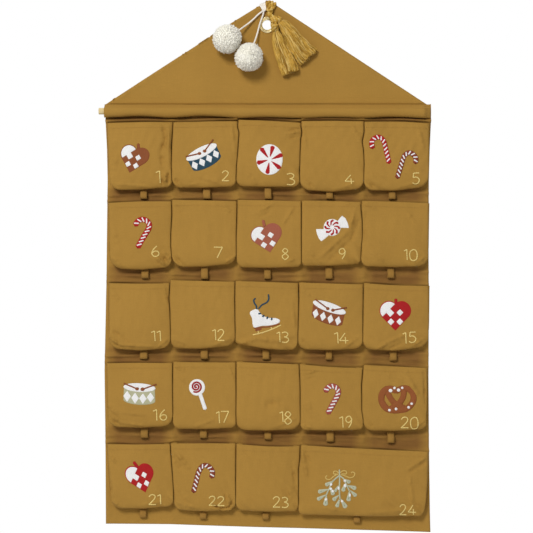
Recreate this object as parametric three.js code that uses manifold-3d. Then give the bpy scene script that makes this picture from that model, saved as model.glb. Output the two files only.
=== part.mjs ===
// Embroidered wall calendar: a cloth hanging with a gabled top, numbered bellows pockets, tape loops,
// a dowel in a sewn casing, a brass eyelet, two pom-poms on cords and two yarn tassels.
// Millimetres, +Z up, the front faces -Y and the wall is the plane y = 0.
// The origin is the centre of the eyelet, where the calendar hangs on its nail.
import * as THREE from "three";
import { mergeVertices } from "three/addons/utils/BufferGeometryUtils.js";
import Module from "manifold-3d";

const wasm = await Module();
wasm.setup();

// Cloth
const clothThickness = 1.6;
const pocketClothThickness = 1.2;
const tapeThickness = 1.2;
const touchGap = 0.3;

// Body and gable
const panelWidth = 594;
const panelDrop = 776;
const seamLap = 10;
const gableWidth = 590;
const gableHeight = 190.4;
const peakRise = 45.4;
const tipRadius = 28;

// Casing and dowel
const casingWidth = 600;
const casingDrop = 22;
const casingClosedEnd = 11;
const closedEndShare = 0.45;
const dowelDiameter = 12;
const dowelClearance = 0.6;
const dowelOverhang = 8;
const dowelEndChamfer = 1;

// Pockets
const columns = 5;
const pocketCount = 24;
const pocketPitch = 117.4;
const rowPitch = 149.1;
const firstRowDrop = 30;
const pocketHeight = 122;
const pocketGap = 1.6;
const pocketCornerRadius = 20;
const pocketBaseDepth = 18;
const pocketMouthDepth = 9;
const pocketCrown = 3.5;
const gussetWidth = 28;
const gussetSeamInset = 3;

// Tape loops
const loopPitch = 114;
const loopShift = 1.6;
const lastLoopShift = -10;
const loopWidth = 14;
const loopDrop = 19.5;
const loopDepth = 10;

// Eyelet
const eyeletHoleDiameter = 18;
const eyeletFlangeDiameter = 30;
const eyeletBackDiameter = 27;
const eyeletBarrelWall = 1;
const eyeletFrontHeight = 2.2;
const eyeletLipHeight = 1.7;
const eyeletGrooveHeight = 1.1;
const eyeletBackHeight = 0.6;

// White cord: knot, turns over the peak, pom-poms
const cordDiameter = 3;
const cordKnotRadius = 3.6;
const cordKnotSide = -6.8;
const cordKnotRise = 25.3;
const cordTurnSides = [-12.8, -8.9, -5];
const cordBackDrop = 20;
const pompomDiameter = 49;
const pompomLeftPlace = [-72.7, -26.9];
const pompomRightPlace = [-33.7, -59.9];

// Gold yarn: strands over the peak, two knots, two tassels
const yarnWidth = 5;
const yarnThickness = 4;
const flatYarnThickness = 0.8;
const crestShare = 0.8;
const yarnSides = [1.2, 6.4, 11.6];
const yarnNeckSide = 5;
const yarnNeckRise = 20.5;
const yarnHoleSide = 4.4;
const yarnHoleWidth = 3.4;
const knotRadius = 7.3;
const upperKnotPlace = [18.9, 8.8];
const lowerKnotPlace = [14.3, -4];
const leftTasselLength = 89;
const leftTasselWidth = 32;
const leftTasselAngle = 19.6;
const rightTasselLength = 90;
const rightTasselWidth = 40;
const rightTasselAngle = 40.6;
const tasselThickness = 13;

// Levels and layers that follow from the sizes above
const seamZ = peakRise - gableHeight;
const hemZ = seamZ - panelDrop;
const firstRowZ = seamZ - firstRowDrop;
const panelFront = -clothThickness;
const sewnBack = panelFront - touchGap;
const gableFront = sewnBack - clothThickness;
const onGable = gableFront - touchGap;
const casingBore = dowelDiameter / 2 + dowelClearance;
const casingRadius = casingBore + clothThickness;
const casingY = sewnBack - casingRadius;
const casingZ = seamZ - casingDrop + casingRadius;
const pocketWidth = pocketPitch - pocketGap;
const widePocketWidth = pocketPitch + pocketWidth;
const eyeletHoleRadius = eyeletHoleDiameter / 2;
const eyeletBarrelRadius = eyeletHoleRadius + eyeletBarrelWall;
const eyeletFlangeRadius = eyeletFlangeDiameter / 2;
const eyeletFront = onGable - eyeletFrontHeight;
const cordRadius = cordDiameter / 2;
const cordKnotY = onGable - cordKnotRadius;
const pompomRadius = pompomDiameter / 2;
const pompomY = onGable - pompomRadius;
const knotY = eyeletFront - touchGap - knotRadius;

// Routes of the two pom-pom cords, from the knot to the pom-pom
const leftCordRoute = [
  [-10.1, -7.4, 23.2], [-12.8, -7.4, 21.4], [-15.5, -7.5, 19.2], [-18.2, -7.6, 16.7],
  [-20.9, -7.8, 14.0], [-23.7, -8.1, 11.2], [-26.6, -8.6, 8.4], [-29.6, -9.3, 5.6],
  [-32.7, -10.3, 2.9], [-35.9, -11.5, 0.2], [-39.2, -12.9, -2.4], [-42.6, -14.4, -5.1],
  [-46.1, -16.0, -7.9], [-49.6, -17.7, -10.8], [-53.1, -19.6, -13.8],
];
const rightCordRoute = [
  [-6.8, -8.0, 21.4], [-7.6, -8.4, 17.8], [-8.9, -8.6, 14.0], [-10.3, -8.7, 10.1],
  [-11.7, -8.7, 6.1], [-13.1, -8.8, 2.0], [-14.4, -9.0, -2.2], [-15.5, -9.3, -6.4],
  [-16.5, -9.9, -10.6], [-17.5, -10.8, -14.7], [-18.6, -12.0, -18.8], [-19.7, -13.5, -22.7],
  [-20.9, -15.2, -26.6], [-22.2, -16.9, -30.5], [-23.6, -18.5, -34.3], [-25.0, -20.0, -38.1],
];

// Solids from points and triangles

function signedVolume(points, triangles) {
  let sum = 0;
  for (const [a, b, c] of triangles) {
    sum += points[a].dot(points[b].clone().cross(points[c]));
  }
  return sum / 6;
}

function meshGeometry(points, triangles) {
  const outward = signedVolume(points, triangles) > 0;
  const index = triangles.flatMap(([a, b, c]) => (outward ? [a, b, c] : [a, c, b]));
  const geometry = new THREE.BufferGeometry();
  geometry.setAttribute("position", new THREE.Float32BufferAttribute(points.flatMap((p) => p.toArray()), 3));
  geometry.setIndex(index);
  geometry.computeVertexNormals();
  return geometry;
}

// A cloth skin of two matching layers of points, closed along its free edges.
function clothShell(outer, inner, triangles) {
  const shift = outer.length;
  const edges = new Map();
  for (const [a, b, c] of triangles) {
    for (const [p, q] of [[a, b], [b, c], [c, a]]) {
      if (!edges.delete(`${q},${p}`)) edges.set(`${p},${q}`, [p, q]);
    }
  }
  const closed = [...triangles];
  for (const [a, b, c] of triangles) closed.push([a + shift, c + shift, b + shift]);
  for (const [p, q] of edges.values()) {
    closed.push([q, p, p + shift]);
    closed.push([q, p + shift, q + shift]);
  }
  return meshGeometry([...outer, ...inner], closed);
}

// Rings of points joined one to the next, with flat ends unless the last ring meets the first.
function ringGeometry(rings, closed = false) {
  const sides = rings[0].length;
  const points = rings.flat();
  const triangles = [];
  const joints = closed ? rings.length : rings.length - 1;
  for (let k = 0; k < joints; k += 1) {
    const low = k * sides;
    const high = ((k + 1) % rings.length) * sides;
    for (let s = 0; s < sides; s += 1) {
      const t = (s + 1) % sides;
      triangles.push([low + s, low + t, high + t]);
      triangles.push([low + s, high + t, high + s]);
    }
  }
  if (!closed) {
    const last = (rings.length - 1) * sides;
    for (let s = 1; s < sides - 1; s += 1) {
      triangles.push([0, s + 1, s]);
      triangles.push([last, last + s, last + s + 1]);
    }
  }
  return meshGeometry(points, triangles);
}

function toManifold(geometry) {
  const bare = geometry.clone();
  bare.deleteAttribute("normal");
  bare.deleteAttribute("uv");
  const merged = mergeVertices(bare);
  return new wasm.Manifold(new wasm.Mesh({
    numProp: 3,
    vertProperties: new Float32Array(merged.attributes.position.array),
    triVerts: new Uint32Array(merged.index.array),
  }));
}

function joined(geometries) {
  const solid = geometries.map(toManifold).reduce((sum, next) => sum.add(next));
  const mesh = solid.getMesh();
  const geometry = new THREE.BufferGeometry();
  geometry.setAttribute("position", new THREE.Float32BufferAttribute(mesh.vertProperties, 3));
  geometry.setIndex([...mesh.triVerts]);
  geometry.computeVertexNormals();
  return geometry;
}

// An outline in X and Z, given thickness towards the front from the plane y = back.
function plateGeometry(shape, thickness, back) {
  const geometry = new THREE.ExtrudeGeometry(shape, { depth: thickness, bevelEnabled: false, curveSegments: 12 });
  const turn = new THREE.Matrix4().makeBasis(
    new THREE.Vector3(1, 0, 0), new THREE.Vector3(0, 0, 1), new THREE.Vector3(0, -1, 0));
  return geometry.applyMatrix4(turn).translate(0, back, 0);
}

// An outline in Y and Z, run along X from start over the given length.
function barGeometry(shape, start, length, segments) {
  const geometry = new THREE.ExtrudeGeometry(shape, { depth: length, bevelEnabled: false, curveSegments: segments });
  const turn = new THREE.Matrix4().makeBasis(
    new THREE.Vector3(0, 1, 0), new THREE.Vector3(0, 0, 1), new THREE.Vector3(1, 0, 0));
  return geometry.applyMatrix4(turn).translate(start, 0, 0);
}

// Body cloth

function bodyPanelGeometry() {
  const half = panelWidth / 2;
  const lapHalf = (gableWidth / 2) * (1 - seamLap / gableHeight) - touchGap;
  const shape = new THREE.Shape();
  shape.moveTo(-half, hemZ);
  shape.lineTo(half, hemZ);
  shape.lineTo(half, casingZ);
  shape.lineTo(lapHalf, seamZ + seamLap);
  shape.lineTo(-lapHalf, seamZ + seamLap);
  shape.lineTo(-half, casingZ);
  shape.closePath();
  return plateGeometry(shape, clothThickness, 0);
}

// Gable cloth, whose lower edge is folded forward round the dowel and stitched down

function tipZ(x) {
  const slope = Math.atan2(gableHeight, gableWidth / 2);
  const centre = peakRise - tipRadius / Math.cos(slope);
  const onSlope = peakRise - Math.abs(x) * Math.tan(slope);
  const arcHalf = tipRadius * Math.sin(slope);
  return Math.abs(x) < arcHalf ? centre + Math.sqrt(tipRadius ** 2 - x ** 2) : onSlope;
}

function gableShape() {
  const slope = Math.atan2(gableHeight, gableWidth / 2);
  const centre = peakRise - tipRadius / Math.cos(slope);
  const half = gableWidth / 2;
  const low = seamZ - clothThickness;
  const shape = new THREE.Shape();
  shape.moveTo(-half, low);
  shape.lineTo(half, low);
  shape.lineTo(half, seamZ);
  shape.absarc(0, centre, tipRadius, Math.PI / 2 - slope, Math.PI / 2 + slope, false);
  shape.lineTo(-half, seamZ);
  shape.closePath();
  const hole = new THREE.Path();
  hole.absarc(0, 0, eyeletBarrelRadius + touchGap, 0, 2 * Math.PI, true);
  shape.holes.push(hole);
  return shape;
}

// The casing's section: flat behind, round below, and drawn in to the stitch line above.
function casingOutline() {
  const stitchY = sewnBack - 2 * clothThickness;
  const reach = Math.hypot(stitchY - casingY, seamZ - casingZ);
  const lean = Math.atan2(stitchY - casingY, seamZ - casingZ);
  const tangent = Math.PI / 2 + Math.acos(casingRadius / reach) - lean;
  const shape = new THREE.Shape();
  shape.moveTo(sewnBack, seamZ);
  shape.lineTo(stitchY, seamZ);
  shape.absarc(casingY, casingZ, casingRadius, tangent, 2 * Math.PI, false);
  shape.closePath();
  return shape;
}

function gablePanelGeometry() {
  const half = casingWidth / 2;
  const open = casingOutline();
  const bore = new THREE.Path();
  bore.absarc(casingY, casingZ, casingBore, 0, 2 * Math.PI, true);
  open.holes.push(bore);
  const tube = barGeometry(open, -half, casingWidth - casingClosedEnd, 9);
  const outline = casingOutline().getPoints(9).slice(0, -1);
  const ring = (x, share) => outline.map(
    (p) => new THREE.Vector3(x, sewnBack + (p.x - sewnBack) * share, p.y));
  const closedEnd = ringGeometry([ring(half - casingClosedEnd, 1), ring(half, closedEndShare)]);
  const sheet = plateGeometry(gableShape(), clothThickness, sewnBack);
  return joined([sheet, tube, closedEnd]);
}

// Dowel, in the casing from its closed end to past its open end

function dowelGeometry() {
  const radius = dowelDiameter / 2;
  const start = -casingWidth / 2 - dowelOverhang;
  const end = casingWidth / 2 - casingClosedEnd - touchGap;
  const length = end - start;
  const face = radius - dowelEndChamfer;
  const profile = [
    new THREE.Vector2(0, 0),
    new THREE.Vector2(face, 0),
    new THREE.Vector2(radius, dowelEndChamfer),
    new THREE.Vector2(radius, length - dowelEndChamfer),
    new THREE.Vector2(face, length),
    new THREE.Vector2(0, length),
  ];
  const geometry = new THREE.LatheGeometry(profile, 16);
  return geometry.rotateZ(-Math.PI / 2).translate(start, casingY, casingZ);
}

// Pockets: a crowned front whose sides and bottom fold in and out again as one gusset

function pocketRows() {
  const arcSteps = 2;
  const sideSteps = 3;
  const list = [];
  for (let k = 0; k <= arcSteps; k += 1) {
    const turn = (Math.PI / 2) * (k / arcSteps);
    list.push({
      z: pocketCornerRadius * (1 - Math.cos(turn)),
      inset: pocketCornerRadius * (1 - Math.sin(turn)),
      normal: [Math.sin(turn), -Math.cos(turn)],
    });
  }
  for (let k = 1; k <= sideSteps; k += 1) {
    const z = pocketCornerRadius + (pocketHeight - pocketCornerRadius) * (k / sideSteps);
    list.push({ z, inset: 0, normal: [1, 0] });
  }
  return list;
}

// The gusset is folded once, deeper where the pocket is shallower. These are the insets from the front's
// edge of the cloth's outer or inner face, at the edge itself, at the fold and at the seam.
function gussetInsets(depth, isInner) {
  const half = depth / 2;
  const slant = gussetWidth / 2;
  const fold = Math.sqrt(slant ** 2 - half ** 2);
  if (!isInner) return { edge: 0, fold, seam: gussetSeamInset };
  const t = pocketClothThickness;
  const backSlant = Math.hypot(fold - gussetSeamInset, half);
  return {
    edge: (t * half) / slant + (t * fold * (1 + fold / slant)) / half,
    fold: fold + (t * slant) / half,
    seam: gussetSeamInset + (t * backSlant) / half,
  };
}

function pocketSkin(width, across, isInner) {
  const levels = pocketRows();
  const half = width / 2;
  const frontDepth = (z) => THREE.MathUtils.lerp(pocketBaseDepth, pocketMouthDepth, z / pocketHeight);
  const crown = (a, z) => pocketCrown * (1 - a * a) * Math.sin(Math.PI * (z / pocketHeight));
  const wall = isInner ? pocketClothThickness : 0;
  const front = [];
  const fold = [];
  const seam = [];
  for (const level of levels) {
    const depth = frontDepth(level.z);
    const insets = gussetInsets(depth, isInner);
    const reach = half - level.inset - insets.edge * level.normal[0];
    const z = level.z - insets.edge * level.normal[1];
    for (let i = 0; i <= across; i += 1) {
      const a = (2 * i) / across - 1;
      front.push(new THREE.Vector3(a * reach, sewnBack - depth - crown(a, level.z) + wall, z));
    }
  }
  const addGusset = (a, level) => {
    const depth = frontDepth(level.z);
    const insets = gussetInsets(depth, isInner);
    const x = a * (half - level.inset);
    const side = Math.sign(a) * level.normal[0];
    fold.push(new THREE.Vector3(
      x - insets.fold * side, sewnBack - depth / 2, level.z - insets.fold * level.normal[1]));
    seam.push(new THREE.Vector3(
      x - insets.seam * side, sewnBack, level.z - insets.seam * level.normal[1]));
  };
  for (const level of [...levels].reverse()) addGusset(-1, level);
  for (let i = 1; i < across; i += 1) addGusset((2 * i) / across - 1, levels[0]);
  for (const level of levels) addGusset(1, level);
  return [...front, ...fold, ...seam];
}

function pocketGeometry(width, across) {
  const up = pocketRows().length - 1;
  const at = (i, j) => j * (across + 1) + i;
  const triangles = [];
  const quad = (a, b, c, d) => {
    triangles.push([a, b, c]);
    triangles.push([a, c, d]);
  };
  for (let j = 0; j < up; j += 1) {
    for (let i = 0; i < across; i += 1) quad(at(i, j), at(i + 1, j), at(i + 1, j + 1), at(i, j + 1));
  }
  const edge = [];
  for (let j = up; j >= 0; j -= 1) edge.push(at(0, j));
  for (let i = 1; i < across; i += 1) edge.push(at(i, 0));
  for (let j = 0; j <= up; j += 1) edge.push(at(across, j));
  const fold = (across + 1) * (up + 1);
  const seam = fold + edge.length;
  for (let m = 0; m < edge.length - 1; m += 1) {
    quad(edge[m + 1], edge[m], fold + m, fold + m + 1);
    quad(fold + m + 1, fold + m, seam + m, seam + m + 1);
  }
  return clothShell(pocketSkin(width, across, false), pocketSkin(width, across, true), triangles);
}

function pocketPlace(number) {
  const row = Math.floor((number - 1) / columns);
  const column = (number - 1) % columns;
  const isWide = number === pocketCount;
  const x = (column - (columns - 1) / 2 + (isWide ? 1 / 2 : 0)) * pocketPitch;
  const z = firstRowZ - row * rowPitch - pocketHeight;
  return { x, z, column, isWide };
}

// Tape loops, sewn in below each pocket

function loopGeometry() {
  const outer = loopDepth / 2;
  const inner = outer - tapeThickness;
  const top = gussetSeamInset - touchGap;
  const low = outer - loopDrop;
  const midY = sewnBack - outer;
  const shape = new THREE.Shape();
  shape.moveTo(sewnBack, top);
  shape.lineTo(sewnBack - 2 * tapeThickness, top);
  shape.absarc(midY, low, outer, Math.PI, 2 * Math.PI, false);
  shape.closePath();
  const hole = new THREE.Path();
  hole.moveTo(sewnBack - tapeThickness, -2 * tapeThickness);
  hole.lineTo(sewnBack - tapeThickness, low);
  hole.absarc(midY, low, inner, 2 * Math.PI, Math.PI, true);
  hole.closePath();
  shape.holes.push(hole);
  return barGeometry(shape, -loopWidth / 2, loopWidth, 6);
}

// Eyelet, crimped through the gable

function eyeletGeometry() {
  const lip = eyeletBarrelRadius + eyeletBarrelWall;
  const roll = (lip + eyeletFlangeRadius) / 2;
  const back = sewnBack + touchGap;
  const profile = [
    [eyeletHoleRadius, onGable],
    [eyeletBarrelRadius, onGable - eyeletLipHeight],
    [lip, onGable - eyeletGrooveHeight],
    [roll, onGable - eyeletFrontHeight],
    [eyeletFlangeRadius, onGable - eyeletGrooveHeight],
    [eyeletFlangeRadius, onGable],
    [eyeletBarrelRadius, onGable],
    [eyeletBarrelRadius, back],
    [eyeletBackDiameter / 2, back],
    [eyeletBackDiameter / 2, back + eyeletBackHeight],
    [eyeletHoleRadius, back + eyeletBackHeight],
    [eyeletHoleRadius, onGable],
  ];
  return new THREE.LatheGeometry(profile.map(([r, y]) => new THREE.Vector2(r, y)), 24);
}

// A strand: an elliptical section carried along a smooth line. Each stop is a point, the section's
// half width, which lies nearest to the X axis, and its half thickness.
function strandGeometry(stops, steps, closed = false) {
  const sides = 6;
  const line = new THREE.CatmullRomCurve3(stops.map((stop) => stop.at), closed, "centripetal");
  const spans = closed ? stops.length : stops.length - 1;
  const across = new THREE.Vector3(1, 0, 0);
  const rings = [];
  const count = closed ? steps : steps + 1;
  for (let k = 0; k < count; k += 1) {
    const t = k / steps;
    const span = Math.min(Math.floor(t * spans), spans - 1);
    const from = stops[span];
    const to = stops[(span + 1) % stops.length];
    const share = t * spans - span;
    const halfWidth = THREE.MathUtils.lerp(from.halfWidth, to.halfWidth, share);
    const halfThickness = THREE.MathUtils.lerp(from.halfThickness, to.halfThickness, share);
    const centre = line.getPoint(t);
    const along = line.getTangent(t);
    const side = across.clone().addScaledVector(along, -across.dot(along)).normalize();
    const up = along.clone().cross(side);
    const ring = [];
    for (let s = 0; s < sides; s += 1) {
      const turn = (2 * Math.PI * s) / sides;
      ring.push(centre.clone()
        .addScaledVector(side, halfWidth * Math.cos(turn))
        .addScaledVector(up, halfThickness * Math.sin(turn)));
    }
    rings.push(ring);
  }
  return ringGeometry(rings, closed);
}

function stop(x, y, z, halfWidth, halfThickness) {
  return { at: new THREE.Vector3(x, y, z), halfWidth, halfThickness };
}

// The stops of a strand that passes over the gable's edge at x, from front to back.
function overEdge(x, halfWidth, halfThickness) {
  const edge = Math.min(tipZ(x - halfWidth), tipZ(x), tipZ(x + halfWidth));
  const top = Math.max(tipZ(x - halfWidth), tipZ(x), tipZ(x + halfWidth));
  const flat = flatYarnThickness / 2;
  const frontY = onGable - halfThickness;
  const backY = -touchGap / 2 - flat;
  const midY = (gableFront + sewnBack) / 2;
  return [
    stop(x, frontY, edge - halfThickness, halfWidth, halfThickness),
    stop(x, frontY, top + halfThickness / 2, halfWidth, halfThickness),
    stop(x, midY, top + touchGap + halfThickness, halfWidth, halfThickness * crestShare),
    stop(x, backY, top + halfThickness / 2, halfWidth, flat),
    stop(x, backY, edge - halfThickness, halfWidth, flat),
  ];
}

function ball(radius, x, y, z, detail) {
  return new THREE.IcosahedronGeometry(radius, detail).translate(x, y, z);
}

// White cord: a knot on the front and its turns over the peak

function cordWrapGeometry() {
  const pieces = [ball(cordKnotRadius, cordKnotSide, cordKnotY, cordKnotRise, 1)];
  const flat = flatYarnThickness / 2;
  for (const side of cordTurnSides) {
    const turn = overEdge(side, cordRadius, cordRadius);
    const back = turn[turn.length - 1].at;
    pieces.push(strandGeometry([
      stop(cordKnotSide, cordKnotY, cordKnotRise, cordRadius, cordRadius),
      ...turn,
      stop(side / 2, back.y, back.z - cordBackDrop / 2, cordRadius, flat),
      stop(0, back.y, back.z - cordBackDrop / 2, cordRadius, flat),
    ], 15));
  }
  return joined(pieces);
}

// Gold yarn: strands over the peak that run on through the eyelet, with two knots in front of it

function yarnWrapGeometry() {
  const halfWidth = yarnWidth / 2;
  const halfThickness = yarnThickness / 2;
  const flat = flatYarnThickness / 2;
  const halfHole = yarnHoleWidth / 2;
  const flatY = -touchGap / 2 - flat;
  const neckY = onGable - halfThickness;
  const rimY = eyeletFront - touchGap - halfThickness;
  const [upperX, upperZ] = upperKnotPlace;
  const [lowerX, lowerZ] = lowerKnotPlace;
  const pieces = [
    ball(knotRadius, upperX, knotY, upperZ, 1),
    ball(knotRadius, lowerX, knotY, lowerZ, 1),
  ];
  const [nearSide, midSide, farSide] = yarnSides;
  pieces.push(strandGeometry([
    stop(yarnNeckSide, neckY, yarnNeckRise, halfWidth, halfThickness),
    ...overEdge(midSide, halfWidth, halfThickness),
    stop(yarnHoleSide, flatY, eyeletHoleRadius, halfHole, flat),
    stop(yarnHoleSide, flatY, halfHole, halfHole, flat),
    stop(yarnHoleSide, (gableFront + sewnBack) / 2, 0, halfHole, halfHole),
    stop(yarnHoleSide, rimY, -halfHole, halfHole, halfThickness),
    stop(lowerX, knotY, lowerZ, halfWidth, halfThickness),
    stop(upperX, knotY, upperZ, halfWidth, halfThickness),
    stop((yarnNeckSide + upperX) / 2, (rimY + knotY) / 2, (yarnNeckRise + upperZ) / 2, halfWidth, halfThickness),
  ], 36, true));
  for (const side of [nearSide, farSide]) {
    pieces.push(strandGeometry([
      stop(yarnNeckSide, neckY, yarnNeckRise, halfWidth, halfThickness),
      ...overEdge(side, halfWidth, halfThickness),
      stop(yarnHoleSide, flatY, eyeletFlangeRadius + touchGap, halfWidth, flat),
    ], 14));
  }
  return joined(pieces);
}

// Tassels: flat fans of yarn that lie on the gable below their knots

const tasselAlongShares = [0, 0.08, 0.18, 0.35, 0.58, 0.79, 1];
const leftTasselLowShares = [-0.15, -0.29, -0.375, -0.455, -0.5, -0.515, -0.5];
const leftTasselHighShares = [0.12, 0.165, 0.26, 0.33, 0.43, 0.465, 0.48];
const rightTasselLowShares = [-0.08, -0.11, -0.165, -0.23, -0.33, -0.4, -0.48];
const rightTasselHighShares = [0.13, 0.3, 0.35, 0.38, 0.385, 0.4, 0.5];
const tasselThicknessShares = [0.46, 0.6, 0.7, 0.8, 0.9, 0.97, 1];
const tasselLobeShare = 0.86;

function tasselGeometry(place, length, width, angle, lowShares, highShares) {
  const sides = 16;
  const tilt = THREE.MathUtils.degToRad(angle);
  const along = new THREE.Vector3(Math.sin(tilt), 0, -Math.cos(tilt));
  const across = new THREE.Vector3(Math.cos(tilt), 0, Math.sin(tilt));
  const forward = new THREE.Vector3(0, 1, 0);
  const knot = new THREE.Vector3(place[0], knotY, place[1]);
  const start = knotRadius + touchGap;
  const restY = onGable - tasselThickness / 2;
  const rings = tasselAlongShares.map((share, k) => {
    const centre = knot.clone()
      .addScaledVector(along, THREE.MathUtils.lerp(start, length, share))
      .addScaledVector(across, (width * (lowShares[k] + highShares[k])) / 2);
    centre.y = THREE.MathUtils.lerp(knotY, restY, Math.min(1, 2 * share));
    const halfWidth = (width * (highShares[k] - lowShares[k])) / 2;
    const halfThickness = (tasselThickness / 2) * tasselThicknessShares[k];
    const ring = [];
    for (let s = 0; s < sides; s += 1) {
      const turn = (2 * Math.PI * s) / sides;
      const lobe = s % 2 === 0 ? 1 : tasselLobeShare;
      ring.push(centre.clone()
        .addScaledVector(across, halfWidth * lobe * Math.cos(turn))
        .addScaledVector(forward, halfThickness * lobe * Math.sin(turn)));
    }
    return ring;
  });
  return ringGeometry(rings);
}

// Pom-pom cords

function cordGeometry(route) {
  const sides = 8;
  const steps = 12;
  const section = new THREE.Shape();
  for (let s = 0; s < sides; s += 1) {
    const turn = (2 * Math.PI * s) / sides;
    const x = cordRadius * Math.cos(turn);
    const y = cordRadius * Math.sin(turn);
    if (s === 0) section.moveTo(x, y);
    else section.lineTo(x, y);
  }
  section.closePath();
  const line = new THREE.CatmullRomCurve3(route.map((p) => new THREE.Vector3(...p)), false, "centripetal");
  return new THREE.ExtrudeGeometry(section, { steps, bevelEnabled: false, extrudePath: line });
}

// Finishes

const cloth = new THREE.MeshStandardMaterial({ color: 0xa87f3a, roughness: 0.95, metalness: 0 });
const wood = new THREE.MeshStandardMaterial({ color: 0xd9bd85, roughness: 0.6, metalness: 0 });
const brass = new THREE.MeshStandardMaterial({ color: 0xb08d4a, roughness: 0.35, metalness: 1 });
const whiteCord = new THREE.MeshStandardMaterial({ color: 0xf0e4d4, roughness: 0.9, metalness: 0 });
const wool = new THREE.MeshStandardMaterial({ color: 0xe4ded0, roughness: 1, metalness: 0 });
const goldYarn = new THREE.MeshStandardMaterial({ color: 0xb48c32, roughness: 0.85, metalness: 0 });

// The calendar

const calendar = new THREE.Group();

function add(name, geometry, material, parent = calendar) {
  const mesh = new THREE.Mesh(geometry, material);
  mesh.name = name;
  parent.add(mesh);
  return mesh;
}

add("body_panel", bodyPanelGeometry(), cloth);
add("gable_panel", gablePanelGeometry(), cloth);
add("dowel", dowelGeometry(), wood);
add("eyelet", eyeletGeometry(), brass);

const pocket = pocketGeometry(pocketWidth, 4);
const widePocket = pocketGeometry(widePocketWidth, 8);
const loop = loopGeometry();
for (let number = 1; number <= pocketCount; number += 1) {
  const { x, z, column, isWide } = pocketPlace(number);
  const label = String(number).padStart(2, "0");
  add(`pocket_${label}`, isWide ? widePocket : pocket, cloth).position.set(x, 0, z);
  const loopX = isWide ? x + lastLoopShift : (column - (columns - 1) / 2) * loopPitch + loopShift;
  add(`loop_${label}`, loop, cloth).position.set(loopX, 0, z);
}

add("cord_wrap", cordWrapGeometry(), whiteCord);
add("pompom_cord_left", cordGeometry(leftCordRoute), whiteCord);
add("pompom_cord_right", cordGeometry(rightCordRoute), whiteCord);
add("pompom_left", ball(pompomRadius, pompomLeftPlace[0], pompomY, pompomLeftPlace[1], 3), wool);
add("pompom_right", ball(pompomRadius, pompomRightPlace[0], pompomY, pompomRightPlace[1], 3), wool);

add("yarn_wrap", yarnWrapGeometry(), goldYarn);
add("tassel_left", tasselGeometry(lowerKnotPlace, leftTasselLength, leftTasselWidth, leftTasselAngle,
  leftTasselLowShares, leftTasselHighShares), goldYarn);
add("tassel_right", tasselGeometry(upperKnotPlace, rightTasselLength, rightTasselWidth, rightTasselAngle,
  rightTasselLowShares, rightTasselHighShares), goldYarn);

export default calendar;
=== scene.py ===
import math

import bmesh
import bpy
import numpy as np
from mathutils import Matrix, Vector
from mathutils.bvhtree import BVHTree
from mathutils.geometry import delaunay_2d_cdt


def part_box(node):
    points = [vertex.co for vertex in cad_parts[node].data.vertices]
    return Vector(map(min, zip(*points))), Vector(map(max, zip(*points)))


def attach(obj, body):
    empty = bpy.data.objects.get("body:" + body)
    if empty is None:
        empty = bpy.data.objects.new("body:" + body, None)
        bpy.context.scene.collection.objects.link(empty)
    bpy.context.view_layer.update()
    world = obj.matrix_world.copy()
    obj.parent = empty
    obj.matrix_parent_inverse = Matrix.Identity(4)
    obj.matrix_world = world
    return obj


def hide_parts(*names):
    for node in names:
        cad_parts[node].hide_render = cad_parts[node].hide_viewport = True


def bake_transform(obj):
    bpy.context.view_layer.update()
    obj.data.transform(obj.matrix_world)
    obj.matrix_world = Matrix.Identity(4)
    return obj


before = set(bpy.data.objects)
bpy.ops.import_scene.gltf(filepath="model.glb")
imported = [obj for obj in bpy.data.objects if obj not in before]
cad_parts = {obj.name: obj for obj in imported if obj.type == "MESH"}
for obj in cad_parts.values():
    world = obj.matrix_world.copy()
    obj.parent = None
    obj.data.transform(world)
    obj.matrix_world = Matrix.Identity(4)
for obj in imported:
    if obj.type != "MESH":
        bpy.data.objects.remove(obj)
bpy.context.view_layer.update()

# Camera

LENS_MM = 100
SENSOR_MM = 36
PHOTO_PIXELS = 533
CAMERA = Vector((-0.0013, -2.7174, -0.4428))
PIXEL_SLOPE = SENSOR_MM / LENS_MM / PHOTO_PIXELS

# Measures. PIXEL is metres to a pixel at the cloth, ORIGIN the pixels of the eyelet's centre, and
# COLUMNS the pixels across at which the pockets of a row meet.
PIXEL = 0.001832
ORIGIN = (267.2, 24.8)
COLUMNS = (172.5, 236.6, 300.6, 362.6)
CANVAS_THICK, POCKET_THICK = 0.0016, 0.0011
STITCH_STEP = 0.0034

camera_data = bpy.data.cameras.new("camera")
camera_data.lens = LENS_MM
camera_data.sensor_width = SENSOR_MM
camera_object = bpy.data.objects.new("camera", camera_data)
camera_object.location = CAMERA
camera_object.rotation_euler = (math.radians(90), 0, 0)
bpy.context.scene.collection.objects.link(camera_object)
bpy.context.scene.camera = camera_object


def place(px, py, y=0.0):
    """The point on the plane y that shows at a pixel of the photograph's frame."""
    step = (y - CAMERA.y) * PIXEL_SLOPE
    half = PHOTO_PIXELS / 2
    return np.array((CAMERA.x + (px - half) * step, y, CAMERA.z - (py - half) * step))


# Colours and materials

def rgb(red, green, blue):
    """An sRGB colour, 0 to 255, as a linear one."""
    values = [c / 255 for c in (red, green, blue)]
    return tuple(c / 12.92 if c <= 0.04045 else ((c + 0.055) / 1.055) ** 2.4 for c in values) + (1.0,)


def shade(colour, factors):
    """A colour times one factor, or times one for each channel."""
    return tuple(np.minimum(1, np.multiply(colour[:3], factors))) + (1.0,)


def add_node(tree, kind, inputs=(), **settings):
    """A new node, with each input linked to a socket or set to a value."""
    node = tree.nodes.new(kind)
    for key, value in settings.items():
        setattr(node, key, value)
    for key, value in dict(inputs).items():
        if isinstance(value, bpy.types.NodeSocket):
            tree.links.new(value, node.inputs[key])
        else:
            node.inputs[key].default_value = value
    return node


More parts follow.
